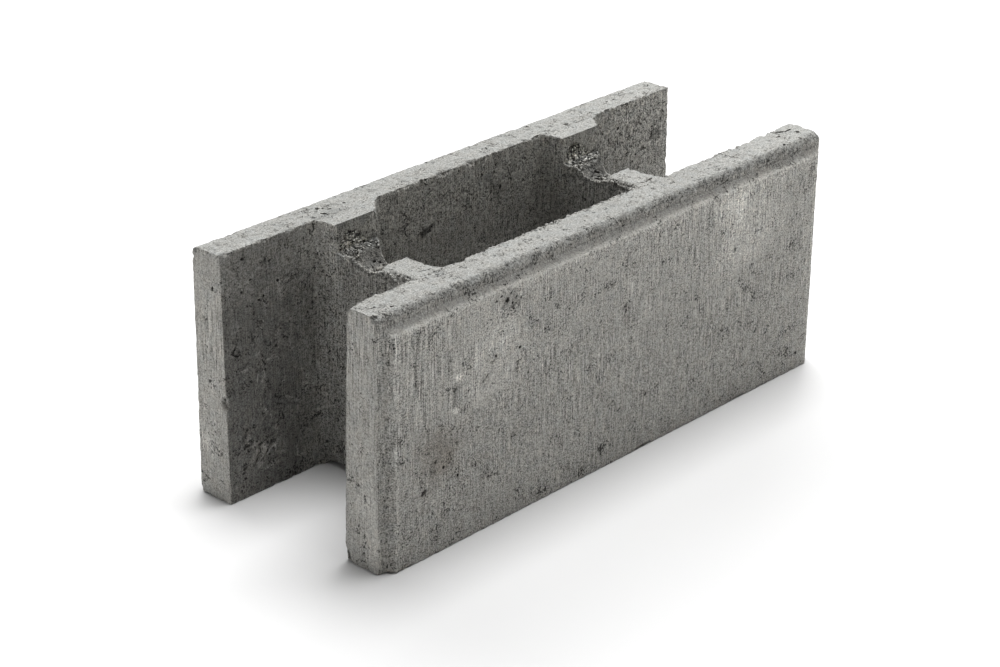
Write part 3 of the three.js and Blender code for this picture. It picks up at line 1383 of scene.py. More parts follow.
SHELL_PITS = (
    NamedPit((-211, -98.6, 53.5), (3.6, 2.2, 2.4), 38, Facing.FRONT),
    NamedPit((-249, -88.5, 196), (5, 1.0, 1.6), 90, Facing.TOP),
    NamedPit((-249.2, 71.7, 169.4), (2.6, 1.3, 1.6), 80, Facing.END),
    NamedPit((-249.2, 62.6, 176), (1.8, 1.3, 1.6), 80, Facing.END),
    NamedPit((-249.2, 79, 143), (1.8, 1.2, 1.6), 60, Facing.END),
    *pits_on(Facing.FRONT, -98.2, 2.4, (
        (224.7, 14.2, 2.8, 1.7, 15), (135.6, 132, 2.3, 1.6, 70), (-180.2, 121.5, 2.4, 1.8),
        (-127.5, 172.6, 3.4, 2.4, 40), (-121.5, 169.8, 1.7, 1.2, 60), (-117.5, 173.6, 3.0, 0.9, 50),
        (-131.5, 169.6, 1.4, 1.1), (-133, 178, 1.6, 1.1), (-120, 164.8, 1.9, 1.0, 80),
        (-112.5, 171, 1.5, 1.1, 70), (-138.5, 175.7, 1.5, 1.1), (-123, 177.6, 1.4, 1.0, 45),
        (-115, 167.4, 1.3, 1.0, 90), (-119, 134.6, 1.5, 1.2), (-113, 132.6, 1.9, 1.3),
        (-138, 134, 2.0, 1.4, 30), (-142, 130.5, 1.5, 1.2), (-147.4, 122, 2.1, 1.2, 50),
        (-151, 118.5, 1.7, 1.2, 50), (-199.3, 73.4, 2.1, 1.4, 60), (-191.2, 65.9, 1.8, 1.3),
        (-177.2, 54.3, 1.9, 1.4, 20), (-97.2, 34.2, 1.8, 1.3), (-182, 92.8, 1.7, 1.3, 80),
        (-178.5, 80.9, 1.8, 1.3), (-229.8, 104.9, 1.9, 1.3, 30),
    )),
    *pits_on(Facing.TOP, 196.0, 2.4, (
        (227.1, -67.9, 6.3, 1.3, -39), (235.5, -71.1, 5.4, 1.4, 1), (218.8, -73.5, 2.7, 1.4, -15),
        (238, -78.1, 2.2, 1.4, -46), (229.1, -87.6, 1.7, 1.5), (208.5, -87.2, 1.8, 1.5),
        (-246.9, -87.5, 2.9, 1.4, 90), (-237.8, -77, 2.7, 1.3, -20), (-227.5, -84.6, 1.8, 1.6),
        (-143.3, 68.4, 2.9, 1.6, -58), (-141.5, 63.8, 3.4, 1.5, -78), (-137, 61.2, 4.7, 1.4),
        (-139.2, 78.9, 2.0, 1.9), (-142.9, 76.5, 1.6, 1.6), (-132.4, 73.3, 2.0, 1.8, 30),
        (-171, 62.4, 2.9, 1.6, -60), (124.4, 66.3, 2.2, 2.3), (115.4, 58.9, 1.6, 1.5),
        (98, 84.5, 1.9, 1.6, 60), (89, 64.8, 5.6, 1.4), (102.6, 65.6, 1.8, 1.6),
        (144.2, 64.3, 2.7, 1.4, 80), (171.2, 63.6, 3.4, 1.6), (219.5, 63, 2.9, 1.9),
        (7, 62.3, 3.4, 1.6), (-20, 63.2, 3.6, 1.4), (-28, 62.4, 2.6, 1.5), (-45, 63.5, 2.0, 1.5),
        (35.3, 63.6, 1.8, 1.4), (27.8, 62.8, 1.8, 1.4), (38.5, 74, 2.0, 1.3),
        (-15.9, 86.4, 1.5, 1.2), (-60, 62.5, 3.2, 1.4), (-70, 62.4, 2.4, 1.4),
        (-207, 62.6, 3.2, 1.5), (218.3, 62.4, 3.4, 1.7), (232, 62.2, 2.6, 1.3),
        (194.5, 61.9, 2.0, 1.3), (238.5, 79.5, 1.9, 1.3), (195.2, 76.5, 1.7, 1.3),
        (187.2, 76.9, 1.6, 1.3),
    )),
    *pits_on(Facing.FRONT, 63.2, 1.4, (
        (185.5, 177.2, 2.4, 1.7, 30), (187.8, 172.4, 2.0, 1.5), (195.6, 170.4, 2.4, 1.6, 60),
        (197, 174.6, 1.8, 1.4), (205, 189, 2.0, 1.5, 80), (204.6, 143.5, 2.3, 1.9),
        (208.5, 148.5, 1.8, 1.6), (233.5, 164, 2.2, 1.5, 60), (240.4, 171, 2.4, 1.7, 40),
        (166, 177.5, 1.8, 1.4), (240.6, 158.6, 1.9, 1.5), (224.7, 156.5, 1.7, 1.4),
        (210.2, 158.9, 1.9, 1.4, 20), (229, 168, 1.7, 1.3), (42.6, 166.5, 2.8, 1.9, 20),
        (37.7, 187.2, 2.8, 1.2, 90), (59, 164.4, 1.9, 1.5), (35.5, 180.1, 1.7, 1.3),
        (-42.6, 152.2, 3.6, 2.1, 20), (-48.5, 154, 2.6, 1.3, -25), (-37.5, 155.5, 2.6, 1.3, 35),
        (-210, 153.8, 2.8, 1.8, 30), (-214.4, 152, 1.8, 1.4), (-207, 181, 2.1, 1.5, 60),
        (-203, 179, 1.7, 1.3), (-228.5, 187.9, 2.2, 1.5), (-195.4, 161.2, 2.2, 1.6),
        (-190, 162.2, 1.9, 1.4), (-221.9, 169.9, 1.7, 1.3), (-230.6, 162.9, 1.6, 1.3),
    )),
    *pits_on(Facing.FRONT, 60.4, 1.8, (
        (-215.5, 26.6, 1.8, 1.4), (-210, 27, 1.9, 1.4), (-206, 31, 2.0, 1.3, 30),
        (-222.6, 24.6, 1.6, 1.3), (-202, 28, 1.6, 1.3),
    )),
)
WEB_PITS = (
    *pits_on(Facing.TOP, 164.8, 3.0, (
        (-144.2, 18.9, 4.0, 1.4, -45), (-135.4, 18, 2.0, 1.0, -30), (-129.4, 20.6, 1.7, 1.0, 20),
        (-138.4, 22.4, 1.8, 0.9, 60), (109, 11, 2.6, 1.2, -42), (110.8, 20.8, 3.2, 1.5, -42),
        (114.8, 22.6, 2.8, 1.3, -20), (109.6, 25.4, 2.2, 1.1, 30), (112.6, 16.6, 2.3, 1.1, -60),
    )),
    *pits_on(Facing.TOP, 166.8, 3.0, (
        (-132.4, 27, 2.2, 1.2, 10), (-129, 24.4, 1.6, 1.1, 40), (117.5, 27.5, 3.0, 1.4, -42),
    )),
    *pits_on(Facing.TOP, 175.4, 2.2, (
        (-135.5, -23.8, 3.6, 0.8, -25), (-130.2, -26, 2.6, 0.8), (98.5, -22.4, 4.8, 0.9, -17),
        (107, -25.6, 4.6, 0.9, -25), (118, -26.2, 7.0, 0.9, 8),
    )),
)


@dataclass(frozen=True)
class PitCluster:
    """Pits close together round a known place: on a rectangle that is turned in its face.

    Place and size are in millimetres, the turn in degrees.
    """

    place: Triple
    size: Pair
    turn: float
    facing: Facing
    cell: float = 3.2 * MM
    share: float = 0.55
    least: float = 0.4 * MM
    most: float = 1.5 * MM
    slender: float = 0.3
    deep: float = 1.4

    def pebbles(self, noise: Noise, rng: Rng) -> Pebbles:
        """Strews the cluster's pits over its rectangle.

        Args:
            noise: read by the pit field.
            rng: gives the places, sizes and turns.

        Returns:
            The stones whose shapes are the pits.
        """
        base, side, out = self.facing.turned(self.turn)
        base, side = base * self.size[0] * MM, side * self.size[1] * MM
        corner = np.array(self.place) * MM - (base + side) / 2
        pits = PitField(self.cell, self.share, self.least, self.most, self.deep, 0.0,
                        slender=self.slender)
        return pits.pebbles(Plane(tuple(corner), tuple(base), tuple(side), tuple(out)), noise, rng)


CLUSTERS = (
    PitCluster((-133, 73, 196.9), (30, 8), -12, Facing.TOP, share=0.8, least=0.9 * MM,
               most=2.2 * MM, cell=4.6 * MM),
    PitCluster((-150, 81, 196.9), (12, 6), 10, Facing.TOP, share=0.8, least=0.8 * MM),
    PitCluster((-105, 70, 196.2), (14, 4), 0, Facing.TOP, share=0.4),
    PitCluster((236, -72, 196.8), (24, 6), 12, Facing.TOP, share=0.85),
    PitCluster((219, -65, 196.2), (8, 6), 0, Facing.TOP, share=0.5),
    PitCluster((244, -86, 196.2), (6, 10), 0, Facing.TOP, share=0.5),
    PitCluster((-247, -80, 196.0), (3.2, 20), 0, Facing.TOP, share=0.9),
    PitCluster((-126, -98.6, 171), (26, 18), 28, Facing.FRONT, share=0.35, most=1.1 * MM),
    PitCluster((-42, 62.4, 152), (18, 8), 20, Facing.FRONT, share=0.5),
)


# ---- Casting ----


class Step(Enum):
    """How a mesh is brought into a workpiece."""

    ADD = "UNION"
    CUT = "DIFFERENCE"


@dataclass
class Workpiece:
    """A mesh under work, with the meshes that are added to it or cut from it in turn."""

    name: str
    blank: Mesh
    steps: list[tuple[Step, Mesh]] = field(default_factory=list)

    def take(self, step: Step, tool: Mesh) -> None:
        """Adds a step to the work."""
        self.steps.append((step, tool))

    def worked(self) -> Mesh:
        """Carries out all steps in turn and returns the new mesh."""
        base = linked(self.name, self.blank)
        tools = []
        for number, (step, mesh) in enumerate(self.steps):
            tool = linked(f"{self.name}_tool_{number}", mesh)
            modifier = base.modifiers.new(f"step_{number}", "BOOLEAN")
            modifier.operation = step.value
            modifier.solver = "MANIFOLD"
            modifier.object = tool
            tools.append(tool)
        return self._carried_out(base, tools)

    def thinned(self, most: int) -> "Workpiece":
        """Merges the blank's triangles where its surface is nearly flat.

        Args:
            most: how many triangles may be left.

        Returns:
            A workpiece with the thinned blank, and no steps yet.
        """
        base = linked(self.name, self.blank)
        thin = base.modifiers.new("thin", "DECIMATE")
        thin.ratio = min(1.0, most / len(self.blank.polygons))
        return Workpiece(self.name, self._carried_out(base, []))

    @staticmethod
    def _carried_out(base: Object, tools: list[Object]) -> Mesh:
        """A new mesh of the base with its modifiers done; the base and tools are removed.

        Args:
            base: the object with the modifiers.
            tools: the objects that the modifiers use.

        Returns:
            The mesh.
        """
        graph = bpy.context.evaluated_depsgraph_get()
        mesh = bpy.data.meshes.new_from_object(base.evaluated_get(graph))
        for spare in (base, *tools):
            bpy.data.objects.remove(spare)
        return mesh


@dataclass
class Casting:
    """The whole block: shells and webs made one, with grains added and pits cut."""

    sizes: BlockSizes
    shell_triangles: int = 31_000
    web_triangles: int = 14_500
    seed: int = 7
    crumbs_from_end: float = 15 * MM
    round_share: float = 0.3
    edge: float = 6 * MM
    pits_over: float = 0.2 * MM
    top_sunk: float = 0.5 * MM
    grain_pitch: float = 2.5 * MM
    grain_columns: int = 19
    grain_rows: int = 36
    grain_rise: float = 0.85
    grain_over: float = 1 * MM
    grain_radii: Pair = (0.8, 1.55)
    grain_buried: Pair = (0.1, 0.5)
    grain_share: float = 0.3
    sharp: float = 50.0

    def __post_init__(self) -> None:
        """Sets up the noise and relief that all parts of the casting share."""
        self.noise = Noise(self.seed)
        self.relief = Relief(self.sizes, self.noise)

    def rough(self, body: FaceShell | CrossWeb, name: str, most: int) -> Workpiece:
        """A body with the relief applied, thinned to the given number of triangles.

        Args:
            body: a shell or a web.
            name: the mesh's name.
            most: how many triangles may be left.

        Returns:
            A workpiece with no steps yet.
        """
        smooth = Surface.from_rings(body.rings()).outward()
        blank = self.relief.applied(smooth, body.arris(smooth.points)).mesh(name)
        return Workpiece(name, blank).thinned(most)

    def shell(self, side: int, name: str) -> Mesh:
        """One face shell with its crumbs and pits.

        Args:
            side: -1 for the front shell, +1 for the rear one.
            name: what its meshes are named for.

        Returns:
            The finished mesh.
        """
        work = self.rough(FaceShell(self.sizes, side), name, self.shell_triangles)
        rng = np.random.default_rng(self.seed + 10 * side + 20)
        for number, line in enumerate(self.crumb_lines(side)):
            for parity in (0, 1):
                crumbs = line.pebbles(parity, self.relief, rng).surface(self.noise)
                work.take(Step.ADD, crumbs.mesh(f"{name}_crumbs_{number}_{parity}"))
        for number, pits in enumerate(self.pits(side, rng)):
            work.take(Step.CUT, pits.surface(self.noise).mesh(f"{name}_pits_{number}"))
        return work.worked()

    def web(self, left: float, name: str) -> Mesh:
        """One web with the grains of its honeycombed patch.

        Args:
            left: X of its -X face.
            name: what its meshes are named for.

        Returns:
            The finished mesh.
        """
        body = CrossWeb(self.sizes, left)
        work = self.rough(body, name, self.web_triangles)
        for number, grains in enumerate(self.grains(body)):
            work.take(Step.ADD, grains.mesh(f"{name}_grains_{number}"))
        width = self.sizes.web_thickness + self.sizes.flare_length
        cavities = [pit.pebble() for pit in WEB_PITS if 0 < pit.place[0] * MM - left < width]
        work.take(Step.CUT, Pebbles.joined(cavities).surface(self.noise).mesh(f"{name}_cavities"))
        return work.worked()

    def crumb_lines(self, side: int) -> tuple[CrumbLine, ...]:
        """Rows of crumbs along the inner arris of a shell's top, and along its outer one.

        Args:
            side: -1 for the front shell, +1 for the rear one.

        Returns:
            The inner row and the outer one.
        """
        s = self.sizes
        end, rim = s.length / 2 - self.crumbs_from_end, s.height
        inner = side * (s.width / 2 - s.shell_top)
        outer = side * (s.slab_reach - self.round_share * s.top_radius)
        share, rare = (0.8, 0.25) if side < 0 else (0.7, 0.10)
        low = rim - self.round_share * s.top_radius
        return (
            CrumbLine((-end, inner, rim), (end, inner, rim), (0, -side, 1.2), share,
                      0.8 * MM, 2.2 * MM),
            CrumbLine((-end, outer, low), (end, outer, low), (0, side, 1), rare,
                      0.7 * MM, 1.5 * MM),
        )

    def planes(self, side: int) -> tuple[Plane, ...]:
        """A shell's panel, inner face, top, and the two chords of its rounded top edge.

        Args:
            side: -1 for the front shell, +1 for the rear one.

        Returns:
            Five rectangles, in the order of the pit fields.
        """
        s = self.sizes
        half, wide, tall, edge = s.length / 2, s.width / 2, s.height, self.edge
        start, along = -half + edge / 2, (s.length - edge, 0, 0)
        foot, head = float(s.gap(edge / 2)), float(s.gap(tall - edge / 2))
        r = s.top_radius + self.pits_over
        arc = [(s.slab_reach - s.top_radius + r * math.cos(turn),
                tall - s.top_radius + r * math.sin(turn))
               for turn in (0, math.pi / 4, math.pi / 2)]
        return (
            Plane(
                (-half + 2 * edge, side * wide, edge / 2), (s.length - 4 * edge, 0, 0),
                (0, 0, tall - 4 * edge), (0, side, 0),
            ),
            Plane(
                (start, side * foot, edge / 2), along,
                (0, side * (head - foot), tall - edge), (0, -side, 0),
            ),
            Plane(
                (start, side * (s.slab_reach - edge), tall - self.top_sunk), along,
                (0, side * (3 * edge - s.shell_top), 0), (0, 0, 1),
            ),
            *(
                Plane(
                    (start, side * low[0], low[1]), along,
                    (0, side * (high[0] - low[0]), high[1] - low[1]), (0, side, out),
                )
                for low, high, out in ((arc[0], arc[1], 0.4), (arc[1], arc[2], 2.4))
            ),
        )

    def pits(self, side: int, rng: Rng) -> list[Pebbles]:
        """The stones whose shapes are cut out of one shell as pits, set by set.

        Args:
            side: -1 for the front shell, +1 for the rear one.
            rng: gives the places, sizes and turns.

        Returns:
            One set for each cut.
        """
        fields = (
            PitField(8 * MM, 0.16, 0.6 * MM, 2.0 * MM, 0.8),
            PitField(8 * MM, 0.24, 0.6 * MM, 2.0 * MM, 1.0),
            PitField(5 * MM, 0.20, 0.5 * MM, 1.6 * MM, 0.9, slender=0.25),
            PitField(3.4 * MM, 0.36, 0.5 * MM, 1.3 * MM, 0.9, gather=1.6, slender=0.35),
            PitField(3.4 * MM, 0.36, 0.5 * MM, 1.3 * MM, 0.9, gather=1.6, slender=0.35),
        )
        strewn = [
            pits.pebbles(plane, self.noise, rng) for pits, plane in zip(fields, self.planes(side))
        ]
        clusters = [
            cluster.pebbles(self.noise, rng) for cluster in CLUSTERS if cluster.place[1] * side > 0
        ]
        named = [pit.pebble() for pit in SHELL_PITS if pit.place[1] * side > 0]
        apart = [Pebbles.joined(named[start::3]) for start in range(3)]
        return [Pebbles.joined(strewn[:3]), *strewn[3:], *clusters, *apart]

    def grains(self, body: CrossWeb) -> list[Surface]:
        """Grains of a web's honeycombed patch, in sets whose stones don't touch.

        They sit on a jittered grid over the pier's face and on another one over the web's
        top, and each is half sunk into the lumpy ground there.

        Args:
            body: the web.

        Returns:
            One surface for each set that has any stones.
        """
        s = self.sizes
        rng = np.random.default_rng(self.seed + 1)
        patch = HoneycombPatch(s, body.left)
        pitch = self.grain_pitch
        sets = []
        for out in (np.array([0.0, -1.0, 0.0]), np.array([0.0, 0.0, 1.0])):
            for odd in np.ndindex(2, 2):
                columns = np.arange(odd[0], self.grain_columns, 2)
                rows = np.arange(odd[1], self.grain_rows, 2)
                i, j = (axis.ravel() for axis in np.meshgrid(columns, rows, indexing="ij"))
                x = body.left - MM + i * pitch
                if out[1]:
                    y = np.full(len(x), s.pier_face - body.pier_blur / 2)
                    z = s.web_top + self.grain_over + j * pitch * self.grain_rise
                else:
                    y = s.pier_face - pitch - j * pitch
                    share = np.clip((x - body.left) / s.web_thickness, 0, 1)
                    z = body.top(y, share)
                spots = np.stack([x, y, z], 1)
                spots += (1 - np.abs(out)) * rng.uniform(-0.5, 0.5, spots.shape) * MM
                spots = spots[patch.share(spots, self.noise) > self.grain_share]
                count = len(spots)
                radii = rng.uniform(*self.grain_radii, count) * MM
                ground = self.relief.depth(spots, np.tile(out, (count, 1)), np.full(count, FAR))
                spots -= out * (ground - rng.uniform(*self.grain_buried, count) * radii)[:, None]
                sets.append(Pebbles.tumbled(spots, radii, rng).surface(self.noise))
        return [stones for stones in sets if len(stones.points)]

    def whole(self) -> Mesh:
        """Both shells and both webs made one closed mesh of triangles."""
        work = Workpiece("casting", self.shell(-1, "front_shell"))
        work.take(Step.ADD, self.shell(1, "rear_shell"))
        for left, name in zip(self.sizes.web_lefts, ("left_web", "right_web")):
            work.take(Step.ADD, self.web(left, name))
        mesh = work.worked()
        self.keep_inside(mesh)
        tidied(mesh)
        return mesh

    def keep_inside(self, mesh: Mesh) -> None:
        """Holds every point within the frame's box."""
        points = np.clip(vectors(mesh.vertices, "co"), *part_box(NODE))
        mesh.vertices.foreach_set("co", points.astype(np.float32).ravel())

    def dressed(self, finish: Material) -> Object:
        """The casting as a piece of the scene, weathered and with its finish on.

        Args:
            finish: the concrete.

        Returns:
            The piece, which rides on the body and stands for the node.
        """
        mesh = self.whole()
        mesh.name = "casting"
        mesh.materials.clear()
        mesh.materials.append(finish)
        mesh.polygons.foreach_set("use_smooth", np.ones(len(mesh.polygons), bool))
        mesh.set_sharp_from_angle(angle=math.radians(self.sharp))
        points, normals = vectors(mesh.vertices, "co"), vectors(mesh.vertex_normals, "vector")
        for name, value in Weathering(self.relief, points, normals).values().items():
            layer = mesh.attributes.new(name, "FLOAT", "POINT")
            layer.data.foreach_set("value", np.asarray(value, np.float32))
        piece = linked("casting", mesh)
        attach(piece, BODY)
        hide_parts(NODE)
        return piece


def tidied(mesh: Mesh) -> None:
    """Leaves a mesh's largest part that hangs together, as triangles.

    Each point takes the least number among its neighbours' until nothing changes; points
    with the same number hang together.

    Args:
        mesh: the casting's mesh, which is changed.
    """
    ends = np.empty(len(mesh.edges) * 2, np.int32)
    mesh.edges.foreach_get("vertices", ends)
    first, second = ends.reshape(-1, 2).T
    label, last = np.arange(len(mesh.vertices)), None
    while last is None or (label != last).any():
        last = label
        least = np.minimum(label[first], label[second])
        label = label.copy()
        np.minimum.at(label, first, least)
        np.minimum.at(label, second, least)
        label = label[label]
    loose = label != np.bincount(label).argmax()
    work = bmesh.new()
    work.from_mesh(mesh)
    spare = [vertex for vertex, gone in zip(work.verts, loose) if gone]
    bmesh.ops.delete(work, geom=spare, context="VERTS")
    bmesh.ops.poke(work, faces=list(twinned(work)))
    bmesh.ops.triangulate(work, faces=[face for face in work.faces if len(face.verts) > 3])
    open_edges = sum(not edge.is_manifold for edge in work.edges)
    log.info("casting: %d triangles, %d open edges", len(work.faces), open_edges)
    work.to_mesh(mesh)
    work.free()


def twinned(work: BMesh) -> set[BMFace]:
    """Faces of many corners that two of them, or one and an edge, share a diagonal with.

    Cut into triangles they would put four triangles on one edge.

    Args:
        work: the mesh under work.

    Returns:
        The faces.
    """
    owners: dict[tuple[int, int], BMFace] = {}
    found = set()
    for face in (each for each in work.faces if len(each.verts) > 3):
        sides = {edge for edge in face.edges}
        for one, other in combinations(face.verts, 2):
            pair = (min(one.index, other.index), max(one.index, other.index))
            edge = work.edges.get((one, other))
            if edge in sides:
                continue
            if edge is not None or pair in owners:
                found.add(face)
            owners[pair] = face
    return found


def vectors(source: bpy.types.bpy_prop_collection, name: str) -> Array:
    """One vector of each item in part of a mesh, by its name, shape (n, 3)."""
    values = np.empty(len(source) * 3, np.float32)
    source.foreach_get(name, values)
    return values.reshape(-1, 3)


@dataclass
class Weathering:
    """What changes slowly over the casting's skin, kept as attributes of its points.

    Open and comb are shares of the struck and honeycombed finishes, drag is a share of the
    drag marks, bold is a factor of the grain's contrast, pitted adds pores, across is the
    share of the faces that look along X, light is a factor of the tone, and warm is a
    share of the brownish stain. Light holds painted shade between the shells, in pits, in
    the grain gaps and on the notches' slopes, and painted highlights on the upper panels,
    arrises, raised grains and the +X end of the tops, together with lighter and darker
    patches of the concrete. Within is between the shells. A pair of numbers is where a
    share starts and where it is full.
    """

    # How far the noise of one value is read from that of the others, in metres.
    BOLD_SHIFT = 0.7
    PIT_SHIFT = 0.3

    relief: Relief
    points: Array
    normals: Array
    marks: tuple[Mark, ...] = FACE_MARKS + CORNER_CHIPS + TOP_MARKS
    # The within factors darken the faces between the shells, most towards the -X end and least on
    # the rear face at the +X end: painted shade.
    within: float = 0.66
    left_within_shade: float = 0.47
    right_within_shade: float = 0.92
    left_from: Pair = (165 * MM, 185 * MM)
    right_from: Pair = (165 * MM, 235 * MM)
    rear_from: Pair = (42 * MM, 45 * MM)
    comb_bare: float = 0.8
    # The rear shell's inner face is lighter high up, less so at the +X end, and darker low down
    # towards the -X end: painted highlight and painted shade.
    upper_inner_highlight: float = 0.60
    high_levels: Pair = (135 * MM, 188 * MM)
    high_right: float = 0.7
    lower_inner_shade: float = 0.25
    low_levels: Pair = (-130 * MM, -70 * MM)
    low_along: Pair = (-240 * MM, -190 * MM)
    # Struck tops grow lighter towards the +X end: a painted highlight.
    top: float = 0.70
    top_right_highlight: float = 0.10
    # The outer panels are lighter on their upper part, most of all just under the bevel: a painted
    # highlight.
    panel_highlight: float = 0.14
    pale_shares: Pair = (0.25, 0.95)
    pale_top: float = 0.6
    pale_levels: Pair = (170 * MM, 177 * MM)
    # Painted shade on the notch's rear slope.
    scoop_shade: float = 0.40
    # Arrises below the top are lighter: partly lighter worn concrete, partly a painted highlight.
    arris_wear_and_highlight: float = 0.10
    arris_reach: float = 1.1 * MM
    arris_under: float = 3 * MM
    near_face: float = 1 * MM
    facing_in: Pair = (0.4, 0.8)
    shell_inner: float = 8 * MM
    # Points sunk in pits are darkened by the hollow factor: painted shade.
    hollow: float = 0.40
    hollow_levels: Pair = (0.25 * MM, 0.85 * MM)
    slope_step: float = 0.2 * MM
    slopes: Pair = (0.15, 0.45)
    within_drag: float = 0.8
    end_drag: float = 0.4
    low_drag: float = 0.6
    bevel_drag: float = 0.1
    drag_shares: Pair = (0.15, 0.6)
    drag_least: float = 0.8
    drag_patches: float = 0.6
    drag_size: float = 45 * MM
    left_bold: float = 0.85
    within_bold: float = 1.2
    right_bold: float = 1.6
    end_bold: float = 0.63
    top_bold: float = 0.95
    bevel_bold: float = 0.6
    bold_left: Pair = (-170 * MM, -150 * MM)
    bold_right: Pair = (150 * MM, 200 * MM)
    bold_patches: float = 0.2
    bold_size: float = 30 * MM
    bevel_facing: Pair = (0.2, 0.5)
    bevel_past: float = 0.5 * MM
    facing_end: Pair = (0.6, 0.85)
    end_reach: float = 4 * MM
    rim_under: float = 0.75
    rim_reach: float = 2.6 * MM
    rim_pits: float = 1.3
    low_pits: float = 0.25
    pit_patches: float = 0.45
    pit_size: float = 55 * MM
    end_pits: float = 0.6
    facing_along: Pair = (0.75, 0.9)
    cloud: float = 0.06
    cloud_size: float = 34 * MM

    def __post_init__(self) -> None:
        """Works out what several of the values share."""
        self.sizes, self.noise = self.relief.sizes, self.relief.noise
        self.up = self.relief.struck(self.points, self.normals)
        self.comb = self.relief.comb(self.points)
        self.inner = self.inside()
        self.shares = [mark.share(self.points, self.noise) for mark in self.marks]

    def light(self) -> Array:
        """Factor of the tone, from where on the block a point lies: painted shade and painted
        highlights, and the concrete's own lighter and darker patches.
        """
        s = self.sizes
        x, y, z = self.points.T
        factor = 1 + self.cloud * self.noise.fractal(self.points, self.cloud_size, 3)
        up, inner = self.up, self.inner
        left = ramp(-x, *self.left_from)
        right = ramp(x, *self.right_from) * (y > 0)
        within = self.within + (self.left_within_shade - self.within) * left
        within = within + (self.right_within_shade - self.within) * right
        # Painted shade on the faces between the shells, less of it on the honeycombed patches.
        factor *= 1 - (1 - within) * inner * (1 - up) * (1 - self.comb_bare * self.comb)
        # Painted highlight high on the rear inner face, and painted shade low on it towards the -X
        # end.
        rear = inner * (1 - up) * ramp(y, *self.rear_from)
        raised = rear * (1 - self.high_right * right) * ramp(z, *self.high_levels)
        lowered = rear * left * ramp(x, *self.low_along) * ramp(-z, *self.low_levels)
        factor *= (1 + self.upper_inner_highlight * raised) * (1 - self.lower_inner_shade * lowered)
        # Struck tops lighter towards the +X end: painted highlight.
        bright = self.top * (1 + self.top_right_highlight * ramp(x, 0, s.length / 2))
        factor *= 1 - (1 - bright) * up
        # Painted highlight on the upper part of the outer panels.
        panel = (np.abs(y) > s.slab_reach - self.near_face) * (1 - up) * (1 - inner)
        high = ramp(z, *(share * s.height for share in self.pale_shares))
        high = high + self.pale_top * ramp(z, *self.pale_levels)
        factor *= 1 + self.panel_highlight * panel * high
        # Lighter arrises: wear and a painted highlight.
        worn = near_arris(FaceShell(s, 1).arris(self.points), self.arris_reach)
        factor *= 1 + self.arris_wear_and_highlight * (worn * (1 - up) * (z < s.height - self.arris_under))
        # Painted shade in pits.
        factor *= 1 - (1 - self.hollow) * self.pit_shade_share()
        ground = self.relief.lumps(self.points)
        for web in s.web_lefts:
            patch = HoneycombPatch(s, web)
            # Painted highlight on the patch's raised grains and painted shade between them.
            factor *= patch.light(self.points, self.noise, ground)
            # Painted shade on the notch's rear slope.
            factor *= 1 - (1 - self.scoop_shade) * patch.slope_shade_share(self.points) * (1 - self.comb)
            factor *= 1 + patch.rim(self.points)
        for mark, share in zip(self.marks, self.shares):
            factor *= 1 + mark.light * share
        return factor

    def inside(self) -> Array:
        """Share of the faces between the shells: webs, piers and the shells' inner faces."""
        s = self.sizes
        reach = np.abs(self.points[:, 1])
        deep = ramp(s.gap(self.points[:, 2]) - self.near_face - reach, 0, self.near_face)
        inward = ramp(-np.sign(self.points[:, 1]) * self.normals[:, 1], *self.facing_in)
        return np.maximum(deep, inward * (reach < s.slab_reach - self.shell_inner))

    def pit_shade_share(self) -> Array:
        """Share of the painted shade in pits: how far a point lies below the worn face that is
        nearest to it.

        Over the rounded top edge the way in is the radius less the distance from its axis,
        and on a bevel it is the way along Y times the cosine of the bevel's slope. The
        bevels themselves hold no pits.
        """
        s = self.sizes
        x, y, z = self.points.T
        shell, radius = FaceShell(s, 1), s.top_radius
        under, inner = s.height - z, np.abs(y) - s.gap(z)
        step = self.slope_step
        rise = (shell.outer_reach(x, z + step) - shell.outer_reach(x, z - step)) / (2 * step)
        run = (shell.outer_reach(x + step, z) - shell.outer_reach(x - step, z)) / (2 * step)
        outer = (shell.outer_reach(x, z) - np.abs(y)) / np.sqrt(1 + rise**2 + run**2)
        turned = radius - np.hypot(np.maximum(radius - outer, 0), np.maximum(radius - under, 0))
        sunk = np.min([s.length / 2 - np.abs(x), turned, under, inner, z], axis=0)
        facing = np.zeros_like(self.points)
        facing[:, 2] = sunk == under
        worn = np.maximum(self.relief.depth(self.points, facing, shell.arris(self.points)), 0)
        level = 1 - ramp(np.hypot(rise, run), *self.slopes) * (sunk == turned)
        return ramp(sunk - worn, *self.hollow_levels) * level * (inner > 0)

    def drag(self) -> Array:
        """Share of the drag marks: less low down outside, and more on the ends."""
        high = ramp(self.points[:, 2], *(share * self.sizes.height for share in self.drag_shares))
        outside = self.low_drag + (1 - self.low_drag) * high
        patches = self.noise.fractal(self.points, self.drag_size, 2)
        patchy = self.drag_least + self.drag_patches * patches
        share = outside + (self.within_drag - outside) * self.inner
        share *= 1 - (1 - self.bevel_drag) * self.bevelled()
        return patchy * share * (1 + self.end_drag * self.endwise())

    def bold(self) -> Array:
        """Factor of the grain's contrast: stronger within, most of all at the +X end."""
        x, y, _ = self.points.T
        right = ramp(x, *self.bold_right) * (y > 0)
        within = self.left_bold + (self.within_bold - self.left_bold) * ramp(x, *self.bold_left)
        within = within + (self.right_bold - within) * right
        factor = 1 + (within - 1) * self.inner
        factor = factor + (self.end_bold - factor) * self.endwise()
        factor = factor + (self.top_bold - factor) * self.up
        factor *= 1 - (1 - self.bevel_bold) * self.bevelled()
        patches = self.noise.fractal(self.points + self.BOLD_SHIFT, self.bold_size, 2)
        return factor * (1 + self.bold_patches * patches)

    def bevelled(self) -> Array:
        """Share of the bevel over the panel, which the mould left smooth."""
        outside = np.abs(self.points[:, 1]) > self.sizes.slab_reach + self.bevel_past
        return ramp(self.normals[:, 2], *self.bevel_facing) * outside

